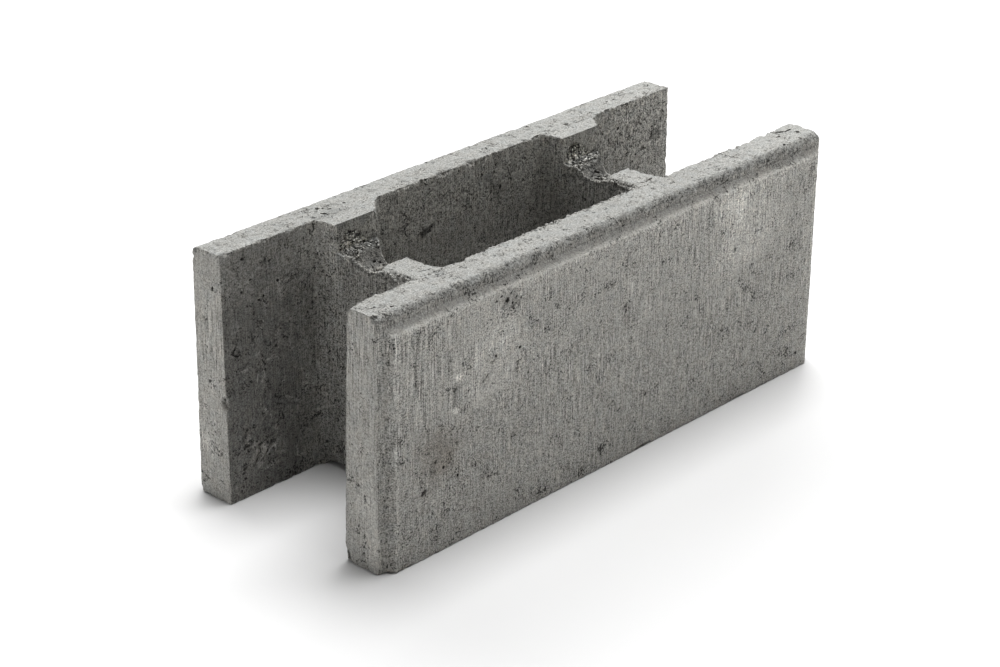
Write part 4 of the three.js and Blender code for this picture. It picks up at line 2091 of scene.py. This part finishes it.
    def endwise(self) -> Array:
        """Share of the faces at the block's two ends."""
        end = self.sizes.length / 2 - np.abs(self.points[:, 0])
        return ramp(np.abs(self.normals[:, 0]), *self.facing_end) * (end < self.end_reach)

    def pitted(self) -> Array:
        """How far the pores are more (or, below nothing, fewer) than the finish has."""
        s = self.sizes
        _, y, z = self.points.T
        rim = near_arris(z - s.height + self.rim_under * s.top_radius, self.rim_reach)
        edge = rim * (np.abs(y) > s.slab_reach - s.top_radius)
        low = ramp(s.height / 2 - z, 0, s.height / 2)
        patches = self.noise.fractal(self.points + self.PIT_SHIFT, self.pit_size, 2)
        more = self.rim_pits * edge + self.low_pits * low + self.pit_patches * patches
        return more - self.end_pits * self.endwise()

    def values(self) -> dict[str, Array]:
        """All the values by their names."""
        marked = list(zip(self.marks, self.shares))
        return {
            "open": np.max([self.up, *(mark.open * share for mark, share in marked)], axis=0),
            "comb": self.comb,
            "light": self.light(),
            "warm": np.max([mark.warm * share for mark, share in marked], axis=0),
            "drag": self.drag(),
            "bold": self.bold(),
            "pitted": self.pitted(),
            "across": ramp(np.abs(self.normals[:, 0]), *self.facing_along),
        }


# ---- Finishes ----

# How far over its threshold the noise of pores and gaps rises until they are full.
EDGE_BLUR = 0.05
# Scale of the noise that makes a spot's edge ragged, and where the spot is full, in radii.
SPOT_SCALE = 400.0
SPOT_CORE = 0.4


class Graph:
    """Adds and joins the nodes of one node tree."""

    def __init__(self, tree: NodeTree) -> None:
        """Works on the given tree."""
        self.tree = tree

    def node(self, kind: str, *values: "Value | tuple", **settings: object) -> Node:
        """A new node of that kind, with its settings made and its first inputs fed.

        Args:
            kind: the node's type.
            values: for the first inputs, in order.
            settings: the node's properties by name.

        Returns:
            The node.
        """
        made = self.tree.nodes.new(kind)
        for name, value in settings.items():
            setattr(made, name, value)
        for socket, value in zip(made.inputs, values):
            self.feed(socket, value)
        return made

    def feed(self, socket: Socket, value: "Value | tuple") -> None:
        """Joins a socket to another one, or sets its value."""
        if isinstance(value, Socket):
            self.tree.links.new(value, socket)
        else:
            socket.default_value = value

    def maths(self, operation: str, *values: Value) -> Socket:
        """The outcome of one operation on one to three numbers."""
        return self.node("ShaderNodeMath", *values, operation=operation).outputs[0]

    plus = partialmethod(maths, "ADD")
    minus = partialmethod(maths, "SUBTRACT")
    times = partialmethod(maths, "MULTIPLY")
    linear = partialmethod(maths, "MULTIPLY_ADD")

    def vector(self, *parts: Value) -> Socket:
        """A vector of three numbers."""
        return self.node("ShaderNodeCombineXYZ", *parts).outputs[0]

    def scaled(self, vector: Socket, factor: "Socket | tuple") -> Socket:
        """A vector with each of its parts multiplied by the factor's."""
        return self.node("ShaderNodeVectorMath", vector, factor, operation="MULTIPLY").outputs[0]

    def noise(self, vector: Socket, scale: Value, detail: float, rough: float) -> Socket:
        """Fractal noise, about 0.5 on average."""
        made = self.node("ShaderNodeTexNoise")
        self.feed(made.inputs["Vector"], vector)
        self.feed(made.inputs["Scale"], scale)
        self.feed(made.inputs["Detail"], detail)
        self.feed(made.inputs["Roughness"], rough)
        return made.outputs["Fac"]

    def step(self, value: Socket, low: Value, high: Value) -> Socket:
        """Smooth step from 0 at low to 1 at high."""
        made = self.node("ShaderNodeMapRange", value, low, high, interpolation_type="SMOOTHSTEP")
        return made.outputs["Result"]

    def blend(self, share: Socket, a: Value, b: Socket, kind: str = "FLOAT") -> Socket:
        """Value b laid over value a by a share: numbers, or vectors of the kind VECTOR.

        Args:
            share: 0 gives a, and 1 gives b.
            a: the value beneath.
            b: the value on top.
            kind: FLOAT or VECTOR.

        Returns:
            The outcome.
        """
        made = self.node("ShaderNodeMix", data_type=kind)
        self.feed(made.inputs[0], share)
        for name, value in zip("AB", (a, b)):
            socket = next(each for each in made.inputs if each.name == name and each.enabled)
            self.feed(socket, value)
        return next(each for each in made.outputs if each.enabled)

    def effect(self, tree: NodeTree, **inputs: Value) -> dict[str, Socket]:
        """Places an effect's group and returns its outputs by name."""
        made = self.node("ShaderNodeGroup", node_tree=tree)
        for name, value in inputs.items():
            self.feed(made.inputs[name.replace("_", " ").capitalize()], value)
        return {socket.name: socket for socket in made.outputs}


@dataclass
class Effect:
    """A shader node group in the making, with its named inputs and outputs."""

    name: str
    inputs: tuple[str, ...]
    outputs: tuple[str, ...]
    vectors: tuple[str, ...] = ("Vector",)

    def __post_init__(self) -> None:
        """Makes the group's tree and its sockets; every group reads the vector Vector."""
        self.tree = bpy.data.node_groups.new(self.name, "ShaderNodeTree")
        face = self.tree.interface
        for name in self.vectors:
            face.new_socket(name=name, in_out="INPUT", socket_type="NodeSocketVector")
        for name in self.inputs:
            face.new_socket(name=name, in_out="INPUT", socket_type="NodeSocketFloat")
        for name in self.outputs:
            face.new_socket(name=name, in_out="OUTPUT", socket_type="NodeSocketFloat")
        self.graph = Graph(self.tree)
        self.given = self.graph.node("NodeGroupInput").outputs
        self.result = self.graph.node("NodeGroupOutput").inputs

    def noise(self, size: str, detail: float, rough: float) -> Socket:
        """Fractal noise of the size that the input of that name gives."""
        scale = self.graph.maths("DIVIDE", 1.0, self.given[size])
        return self.graph.noise(self.given["Vector"], scale, detail, rough)

    def toned(self, noise: Socket) -> NodeTree:
        """Ends a group whose Tone is noise stretched to -1 to 1, and its Height by Depth."""
        tone = self.graph.linear(noise, 2.0, -1.0)
        self.graph.feed(self.result["Tone"], tone)
        height = self.graph.times(tone, self.given["Depth"])
        self.graph.feed(self.result["Height"], height)
        return self.tree

    def masked(self, mask: Socket) -> NodeTree:
        """Ends a group whose Mask is given, and whose Height is Depth below nothing there."""
        depth = self.graph.times(self.given["Depth"], -1.0)
        self.graph.feed(self.result["Mask"], mask)
        self.graph.feed(self.result["Height"], self.graph.times(mask, depth))
        return self.tree


def grit_effect() -> NodeTree:
    """Sand grain: fractal noise of a grain size. Tone is -1 to 1, height in metres."""
    made = Effect("sand_grit", ("Size", "Depth"), ("Tone", "Height"))
    return made.toned(made.noise("Size", 1.0, 0.6))


def drag_effect() -> NodeTree:
    """Upright drag marks: noise of a width in X and Y, drawn out to a length in Z.

    The vector is flattened beforehand onto the face that the marks are on.
    """
    made = Effect("drag_marks", ("Width", "Length", "Depth"), ("Tone", "Height"))
    g, given = made.graph, made.given
    fine = g.maths("DIVIDE", 1.0, given["Width"])
    scale = g.vector(fine, fine, g.maths("DIVIDE", 1.0, given["Length"]))
    drawn = g.scaled(given["Vector"], scale)
    return made.toned(g.noise(drawn, 1.0, 1.0, 0.7))


def pore_effect() -> NodeTree:
    """Ragged pores that gather in clusters.

    Fine noise of the pore's size and slow noise of the cluster's size are added up, and
    what rises over the threshold is a pore. Mask is 1 in a pore, height is below nothing.
    """
    made = Effect("open_pores", ("Size", "Cluster", "Gather", "Threshold", "Depth"),
                  ("Mask", "Height"))
    g, given = made.graph, made.given
    drift = g.minus(made.noise("Cluster", 2.0, 0.5), 0.5)
    drift = g.times(drift, given["Gather"])
    level = g.plus(made.noise("Size", 2.0, 0.6), drift)
    full = g.plus(given["Threshold"], EDGE_BLUR)
    return made.masked(g.step(level, given["Threshold"], full))


def gap_effect() -> NodeTree:
    """Thin winding gaps, where the paste doesn't fill the room between grains.

    Fine noise crosses its middle along winding lines: those are the gaps, and the width is
    how far from the middle they reach. They show where slow noise of the cluster's size
    is over the threshold. Mask is 1 in a gap, height is below nothing.
    """
    made = Effect("grain_gaps", ("Size", "Width", "Cluster", "Threshold", "Depth"),
                  ("Mask", "Height"))
    g, given = made.graph, made.given
    away = g.maths("ABSOLUTE", g.minus(made.noise("Size", 1.0, 0.5), 0.5))
    line = g.step(away, given["Width"], 0.0)
    full = g.plus(given["Threshold"], EDGE_BLUR)
    where = g.step(made.noise("Cluster", 2.0, 0.6), given["Threshold"], full)
    return made.masked(g.times(line, where))


def spot_effect() -> NodeTree:
    """Share of a ragged spot: 1 in the middle of an ellipsoid, 0 at its edge.

    The distance from the place, counted in radii, gets noise added and is then put through
    a smooth step.
    """
    made = Effect("spot", ("Ragged",), ("Share",), ("Vector", "Place", "Radii"))
    g, given = made.graph, made.given
    kind = "ShaderNodeVectorMath"
    offset = g.node(kind, given["Vector"], given["Place"], operation="SUBTRACT")
    counted = g.node(kind, offset.outputs[0], given["Radii"], operation="DIVIDE")
    length = g.node(kind, counted.outputs[0], operation="LENGTH")
    drift = g.minus(g.noise(given["Vector"], SPOT_SCALE, 2.0, 0.6), 0.5)
    away = g.linear(drift, given["Ragged"], length.outputs["Value"])
    g.feed(made.result["Share"], g.step(away, 1.0, SPOT_CORE))
    return made.tree


@dataclass(frozen=True)
class MarginShading:
    """A shell's sunk margin: its tones, and where its grooves and its lip lie.

    Before is the way from the upper or the side foot of the bevels back into the margin.
    Each tone is a factor: painted shade over the bevels and in the grooves, and a painted
    highlight on the side lip. A pair of reaches is where a line ends and where it is full.
    """

    sizes: BlockSizes
    # Painted shade over the bevels and in the grooves, and a painted highlight on the side lip.
    top: float = 0.74
    end: float = 0.91
    upper_groove: float = 0.58
    side_groove: float = 0.88
    side_lip: float = 1.14
    outside: float = 4 * MM
    blur: float = 0.8
    foot: float = 1.7 * MM
    upper_before: float = 1.6 * MM
    side_before: float = 2.8 * MM
    groove_reach: Pair = (4.0 * MM, 1.2 * MM)
    lip_before: float = 7.2 * MM
    lip_reach: Pair = (2.6 * MM, 0.6 * MM)
    lip_under: Pair = (-2 * MM, -6 * MM)

    def effect(self) -> NodeTree:
        """How far a point lies in each part of the margin, from its place on the block.

        Top and end are smooth steps over the bevels, at the level and at |X| of the end.
        A groove is a line before the upper foot or before the side one, whichever is
        nearer, and the side lip is one farther in. All of them fade in over the reach |Y|
        up to the slab.
        """
        made = Effect("sunk_margin_shading", ("Slab", "Level", "End", "Blur"),
                      ("Top", "End", "Upper groove", "Side groove", "Side lip"))
        g, given = made.graph, made.given
        apart = g.node("ShaderNodeSeparateXYZ", given["Vector"])
        reach, along = (g.maths("ABSOLUTE", apart.outputs[axis]) for axis in "YX")
        outside = g.step(reach, g.minus(given["Slab"], self.outside), given["Slab"])
        over = g.minus(apart.outputs["Z"], given["Level"])
        past = g.minus(along, given["End"])
        start = g.times(given["Blur"], -1.0)
        near = (g.plus(over, self.upper_before), g.plus(past, self.side_before))
        groove = g.maths("ABSOLUTE", g.maths("MAXIMUM", *near))
        groove = g.step(groove, *self.groove_reach)
        upper = g.maths("GREATER_THAN", *near)
        lip = g.maths("ABSOLUTE", g.plus(past, self.lip_before))
        found = (
            g.step(over, start, -self.foot), g.step(past, start, -self.foot),
            g.times(groove, upper),
            g.times(groove, g.minus(1.0, upper)),
            g.times(g.step(over, *self.lip_under), g.step(lip, *self.lip_reach)),
        )
        for socket, share in zip(made.result, found):
            g.feed(socket, g.times(share, outside))
        return made.tree

    def factor(self, g: Graph, place: Socket) -> Socket:
        """Factor of the tone that paints the margin's shade and the side lip's highlight, 1 on
        struck tops.

        Args:
            g: the material's graph.
            place: the position on the block.

        Returns:
            The factor.
        """
        s = self.sizes
        found = g.effect(
            self.effect(), vector=place, slab=s.slab_reach, level=s.height - s.margin_top,
            end=s.length / 2 - s.margin_end, blur=self.blur * s.bevel_top,
        )
        tones = (self.top, self.end, self.upper_groove, self.side_groove, self.side_lip)
        top, end, upper, side, lip = (
            g.linear(share, tone - 1, 1.0) for share, tone in zip(found.values(), tones)
        )
        groove = g.times(g.times(upper, side), lip)
        closed = g.minus(1.0, attribute(g, "open"))
        return g.blend(closed, 1.0, g.times(groove, g.maths("MINIMUM", top, end)))


def attribute(g: Graph, name: str) -> Socket:
    """A value kept on the mesh's points."""
    return g.node("ShaderNodeAttribute", attribute_name=name).outputs["Fac"]


def on_face(g: Graph, place: Socket) -> Socket:
    """The position with Y left out, or X on faces that look along X: the way marks run."""
    across = attribute(g, "across")
    return g.scaled(place, g.vector(g.minus(1.0, across), across, 1.0))


@dataclass(frozen=True)
class ConcreteFinish:
    """One finish of the grey concrete. Contrasts are parts of its tone."""

    grit_size: float = 1.15 * MM
    grit_contrast: float = 1.38
    grit_depth: float = 0.10 * MM
    sand_size: float = 3.2 * MM
    sand_contrast: float = 0.5
    sand_depth: float = 0.18 * MM
    drag_width: float = 1.2 * MM
    drag_length: float = 26 * MM
    drag_contrast: float = 1.15
    drag_depth: float = 0.10 * MM
    pore_size: float = 1.9 * MM
    pore_cluster: float = 12 * MM
    pore_gather: float = 0.7
    pore_threshold: float = 0.655
    pore_spread: float = 0.07
    pore_depth: float = 0.6 * MM
    pore_shade: float = 0.8
    gap_size: float = 2.0 * MM
    gap_width: float = 0.045
    gap_cluster: float = 5.5 * MM
    gap_threshold: float = 0.60
    gap_shade: float = 0.72
    gap_depth: float = 0.3 * MM
    darkest: float = 0.12

    def layer(
        self, g: Graph, effects: dict[str, NodeTree], place: Socket
    ) -> tuple[Socket, Socket]:
        """Lays out this finish's effects.

        Args:
            g: the material's graph.
            effects: the shared groups by name.
            place: the position on the block.

        Returns:
            The factor of the tone, and the height in metres.
        """
        grit = g.effect(effects["grit"], vector=place, size=self.grit_size, depth=self.grit_depth)
        sand = g.effect(effects["grit"], vector=place, size=self.sand_size, depth=self.sand_depth)
        drag = g.effect(
            effects["drag"], vector=on_face(g, place), width=self.drag_width,
            length=self.drag_length, depth=self.drag_depth,
        )
        bar, gap_bar = (
            g.linear(attribute(g, "pitted"), -self.pore_spread, level)
            for level in (self.pore_threshold, self.gap_threshold)
        )
        pores = g.effect(
            effects["pores"], vector=place, size=self.pore_size, cluster=self.pore_cluster,
            gather=self.pore_gather, threshold=bar, depth=self.pore_depth,
        )
        gaps = g.effect(
            effects["gaps"], vector=place, size=self.gap_size, width=self.gap_width,
            cluster=self.gap_cluster, threshold=gap_bar, depth=self.gap_depth,
        )
        grain = g.times(grit["Tone"], self.grit_contrast)
        grain = g.linear(sand["Tone"], self.sand_contrast, grain)
        streak = g.times(drag["Tone"], attribute(g, "drag"))
        grain = g.linear(streak, self.drag_contrast, grain)
        light = g.linear(grain, attribute(g, "bold"), 1.0)
        # Pores and gaps are darkened: painted shade in the hollows.
        shade = g.times(g.linear(pores["Mask"], -self.pore_shade, 1.0),
                        g.linear(gaps["Mask"], -self.gap_shade, 1.0))
        height = g.plus(g.plus(grit["Height"], sand["Height"]),
                        g.linear(drag["Height"], attribute(g, "drag"), pores["Height"]))
        height = g.plus(height, gaps["Height"])
        return g.times(g.maths("MAXIMUM", light, self.darkest), shade), height


CAST_FACE = ConcreteFinish()
STRUCK_TOP = ConcreteFinish(
    grit_contrast=0.95, grit_depth=0.16 * MM, sand_contrast=0.22, sand_depth=0.32 * MM,
    drag_contrast=0.0, drag_depth=0.0, pore_size=1.8 * MM, pore_cluster=9 * MM,
    pore_threshold=0.69, pore_shade=0.7, gap_size=3.6 * MM, gap_width=0.055,
    gap_cluster=8 * MM, gap_threshold=0.575, gap_shade=0.85,
)
BROKEN = ConcreteFinish(
    grit_contrast=1.1, sand_size=2.6 * MM, sand_contrast=1.9, sand_depth=0.5 * MM,
    drag_contrast=0.0, drag_depth=0.0, pore_size=2.4 * MM, pore_cluster=5 * MM,
    pore_threshold=0.60, pore_depth=0.8 * MM, gap_width=0.06, gap_threshold=0.47,
    gap_shade=0.85,
)


@dataclass(frozen=True)
class Concrete:
    """The block's material: three finishes laid over each other by the skin's attributes."""

    sizes: BlockSizes
    tone: Triple = (0.368, 0.360, 0.334)
    stain: Triple = (1.10, 0.95, 0.80)
    face: ConcreteFinish = CAST_FACE
    struck: ConcreteFinish = STRUCK_TOP
    broken: ConcreteFinish = BROKEN
    hue: float = 0.02
    hue_size: float = 9 * MM
    top_cool: float = 0.045
    roughness: float = 0.93
    gloss: float = 0.2
    spots: tuple[Mark, ...] = SPOTS

    def material(self) -> Material:
        """Builds the groups and the material."""
        effects = {"grit": grit_effect(), "drag": drag_effect(), "pores": pore_effect(),
                   "gaps": gap_effect()}
        made = bpy.data.materials.new("concrete")
        made.use_nodes = True
        made.node_tree.nodes.clear()
        g = Graph(made.node_tree)
        place = g.node("ShaderNodeTexCoord").outputs["Object"]
        light, height = self.face.layer(g, effects, place)
        for finish, name in ((self.struck, "open"), (self.broken, "comb")):
            over, rise = finish.layer(g, effects, place)
            share = attribute(g, name)
            light = g.blend(share, light, over)
            height = g.blend(share, height, rise)
        # The light attribute lays on painted shade and painted highlights together with the
        # concrete's own patches; the margin factor lays on painted shade and a painted highlight.
        light = g.times(light, attribute(g, "light"))
        light = g.times(light, MarginShading(self.sizes).factor(g, place))
        light = g.times(light, self.spotted(g, place))
        bump = g.node("ShaderNodeBump")
        g.feed(bump.inputs["Strength"], 1.0)
        g.feed(bump.inputs["Distance"], 1.0)
        g.feed(bump.inputs["Height"], height)
        shader = g.node("ShaderNodeBsdfPrincipled")
        g.feed(shader.inputs["Base Color"], g.scaled(self.colour(g, place), light))
        shader.inputs["Roughness"].default_value = self.roughness
        shader.inputs["Specular IOR Level"].default_value = self.gloss
        g.feed(shader.inputs["Normal"], bump.outputs["Normal"])
        g.feed(g.node("ShaderNodeOutputMaterial").inputs["Surface"], shader.outputs[0])
        return made

    def spotted(self, g: Graph, place: Socket) -> Socket:
        """Factor of the tone that lays on the small spots and streaks.

        Args:
            g: the material's graph.
            place: the position on the block.

        Returns:
            The factor.
        """
        spot, factor = spot_effect(), 1.0
        for mark in self.spots:
            found = g.effect(
                spot, vector=place, place=tuple(MM * each for each in mark.place),
                radii=tuple(MM * each for each in mark.radii), ragged=2 * mark.ragged,
            )
            factor = g.times(g.linear(found["Share"], mark.light, 1.0), factor)
        return factor

    def colour(self, g: Graph, place: Socket) -> Socket:
        """The tone, a bit warmer here and cooler there, and brownish where it is stained.

        Struck tops are a little cooler than the moulded faces.

        Args:
            g: the material's graph.
            place: the position on the block.

        Returns:
            The colour, before the factors of the tone are laid on.
        """
        drift = g.linear(g.noise(place, 1 / self.hue_size, 2.0, 0.6), 2.0, -1.0)
        tilt = g.times(drift, 2 * self.hue)
        opened = attribute(g, "open")
        green = g.linear(opened, 0.5 * self.top_cool, 1.0)
        blue = g.minus(g.linear(opened, self.top_cool, 1.0), tilt)
        plain = g.scaled(g.vector(g.plus(tilt, 1.0), green, blue), self.tone)
        return g.blend(attribute(g, "warm"), plain, g.scaled(plain, self.stain), "VECTOR")


# ---- Studio ----


@dataclass(frozen=True)
class SoftLight:
    """A rectangular soft box: where it hangs, what it points at, its size and power."""

    name: str
    place: Triple
    target: Triple
    size: Pair
    power: float

    def hang(self) -> None:
        """Adds the light to the scene."""
        lamp = bpy.data.lights.new(self.name, "AREA")
        lamp.shape = "RECTANGLE"
        lamp.size, lamp.size_y = self.size
        lamp.energy = self.power
        item = linked(self.name, lamp)
        item.location = self.place
        aim = Vector(self.target) - Vector(self.place)
        item.rotation_euler = aim.to_track_quat("-Z", "Y").to_euler()


@dataclass(frozen=True)
class Studio:
    """A pale floor, a white surround, soft boxes and the camera."""

    floor_half: float = 8.0
    floor_tone: float = 0.69
    floor_rough: float = 0.9
    surround: float = 0.05
    eye: Triple = (-1.3822, -1.2236, 0.9182)
    heading: float = 47.97
    dip: float = 24.57
    roll: float = 0.74
    lens: float = 94.9
    sensor: float = 36.0
    clip: Pair = (0.05, 60.0)
    lights: tuple[SoftLight, ...] = (
        SoftLight("overhead", (1.8, 0.0, 7.7), (0, 0, 0), (5.0, 5.0), 830.0),
        SoftLight("back", (3.8, 5.4, 4.6), (0, 0, 0), (8.0, 4.5), 800.0),
        SoftLight("side", (-7.0, 1.9, 3.4), (0, 0, 0), (5.0, 4.0), 90.0),
    )

    def build(self) -> None:
        """Sets up everything round the block."""
        self.lay_floor()
        self.light()
        self.set_camera()
        bpy.context.scene.view_settings.view_transform = "Standard"

    def lay_floor(self) -> None:
        """A flat square floor on the bed's level."""
        h = self.floor_half
        mesh = bpy.data.meshes.new("floor")
        mesh.from_pydata([(-h, -h, 0), (h, -h, 0), (h, h, 0), (-h, h, 0)], [], [(0, 1, 2, 3)])
        paper = bpy.data.materials.new("floor_paper")
        paper.use_nodes = True
        shader = paper.node_tree.nodes["Principled BSDF"]
        shader.inputs["Base Color"].default_value = (*(self.floor_tone,) * 3, 1)
        shader.inputs["Roughness"].default_value = self.floor_rough
        shader.inputs["Specular IOR Level"].default_value = 0.0
        mesh.materials.append(paper)
        linked("floor", mesh)

    def light(self) -> None:
        """A uniform surround, and the soft boxes."""
        world = bpy.data.worlds.new("surround")
        world.use_nodes = True
        back = world.node_tree.nodes["Background"]
        back.inputs["Color"].default_value = (1, 1, 1, 1)
        back.inputs["Strength"].default_value = self.surround
        bpy.context.scene.world = world
        for lamp in self.lights:
            lamp.hang()

    def set_camera(self) -> None:
        """A long lens that looks down on the front left corner."""
        lens = bpy.data.cameras.new("camera")
        lens.sensor_width, lens.lens = self.sensor, self.lens
        lens.clip_start, lens.clip_end = self.clip
        camera = linked("camera", lens)
        turn = Matrix.Rotation(-math.radians(self.heading), 4, "Z")
        tilt = Matrix.Rotation(math.radians(90 - self.dip), 4, "X")
        roll = Matrix.Rotation(math.radians(self.roll), 4, "Z")
        camera.matrix_world = Matrix.Translation(self.eye) @ turn @ tilt @ roll
        bpy.context.scene.camera = camera


def main() -> None:
    """Builds the studio and the block, piece by piece."""
    logging.basicConfig(level=logging.INFO, format="%(name)s: %(message)s")
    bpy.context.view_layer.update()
    Studio().build()
    sizes = BlockSizes.from_frame()
    piece = Casting(sizes).dressed(Concrete(sizes).material())
    log.info("%s: %d triangles", piece.name, len(piece.data.polygons))


if __name__ == "__main__":
    main()
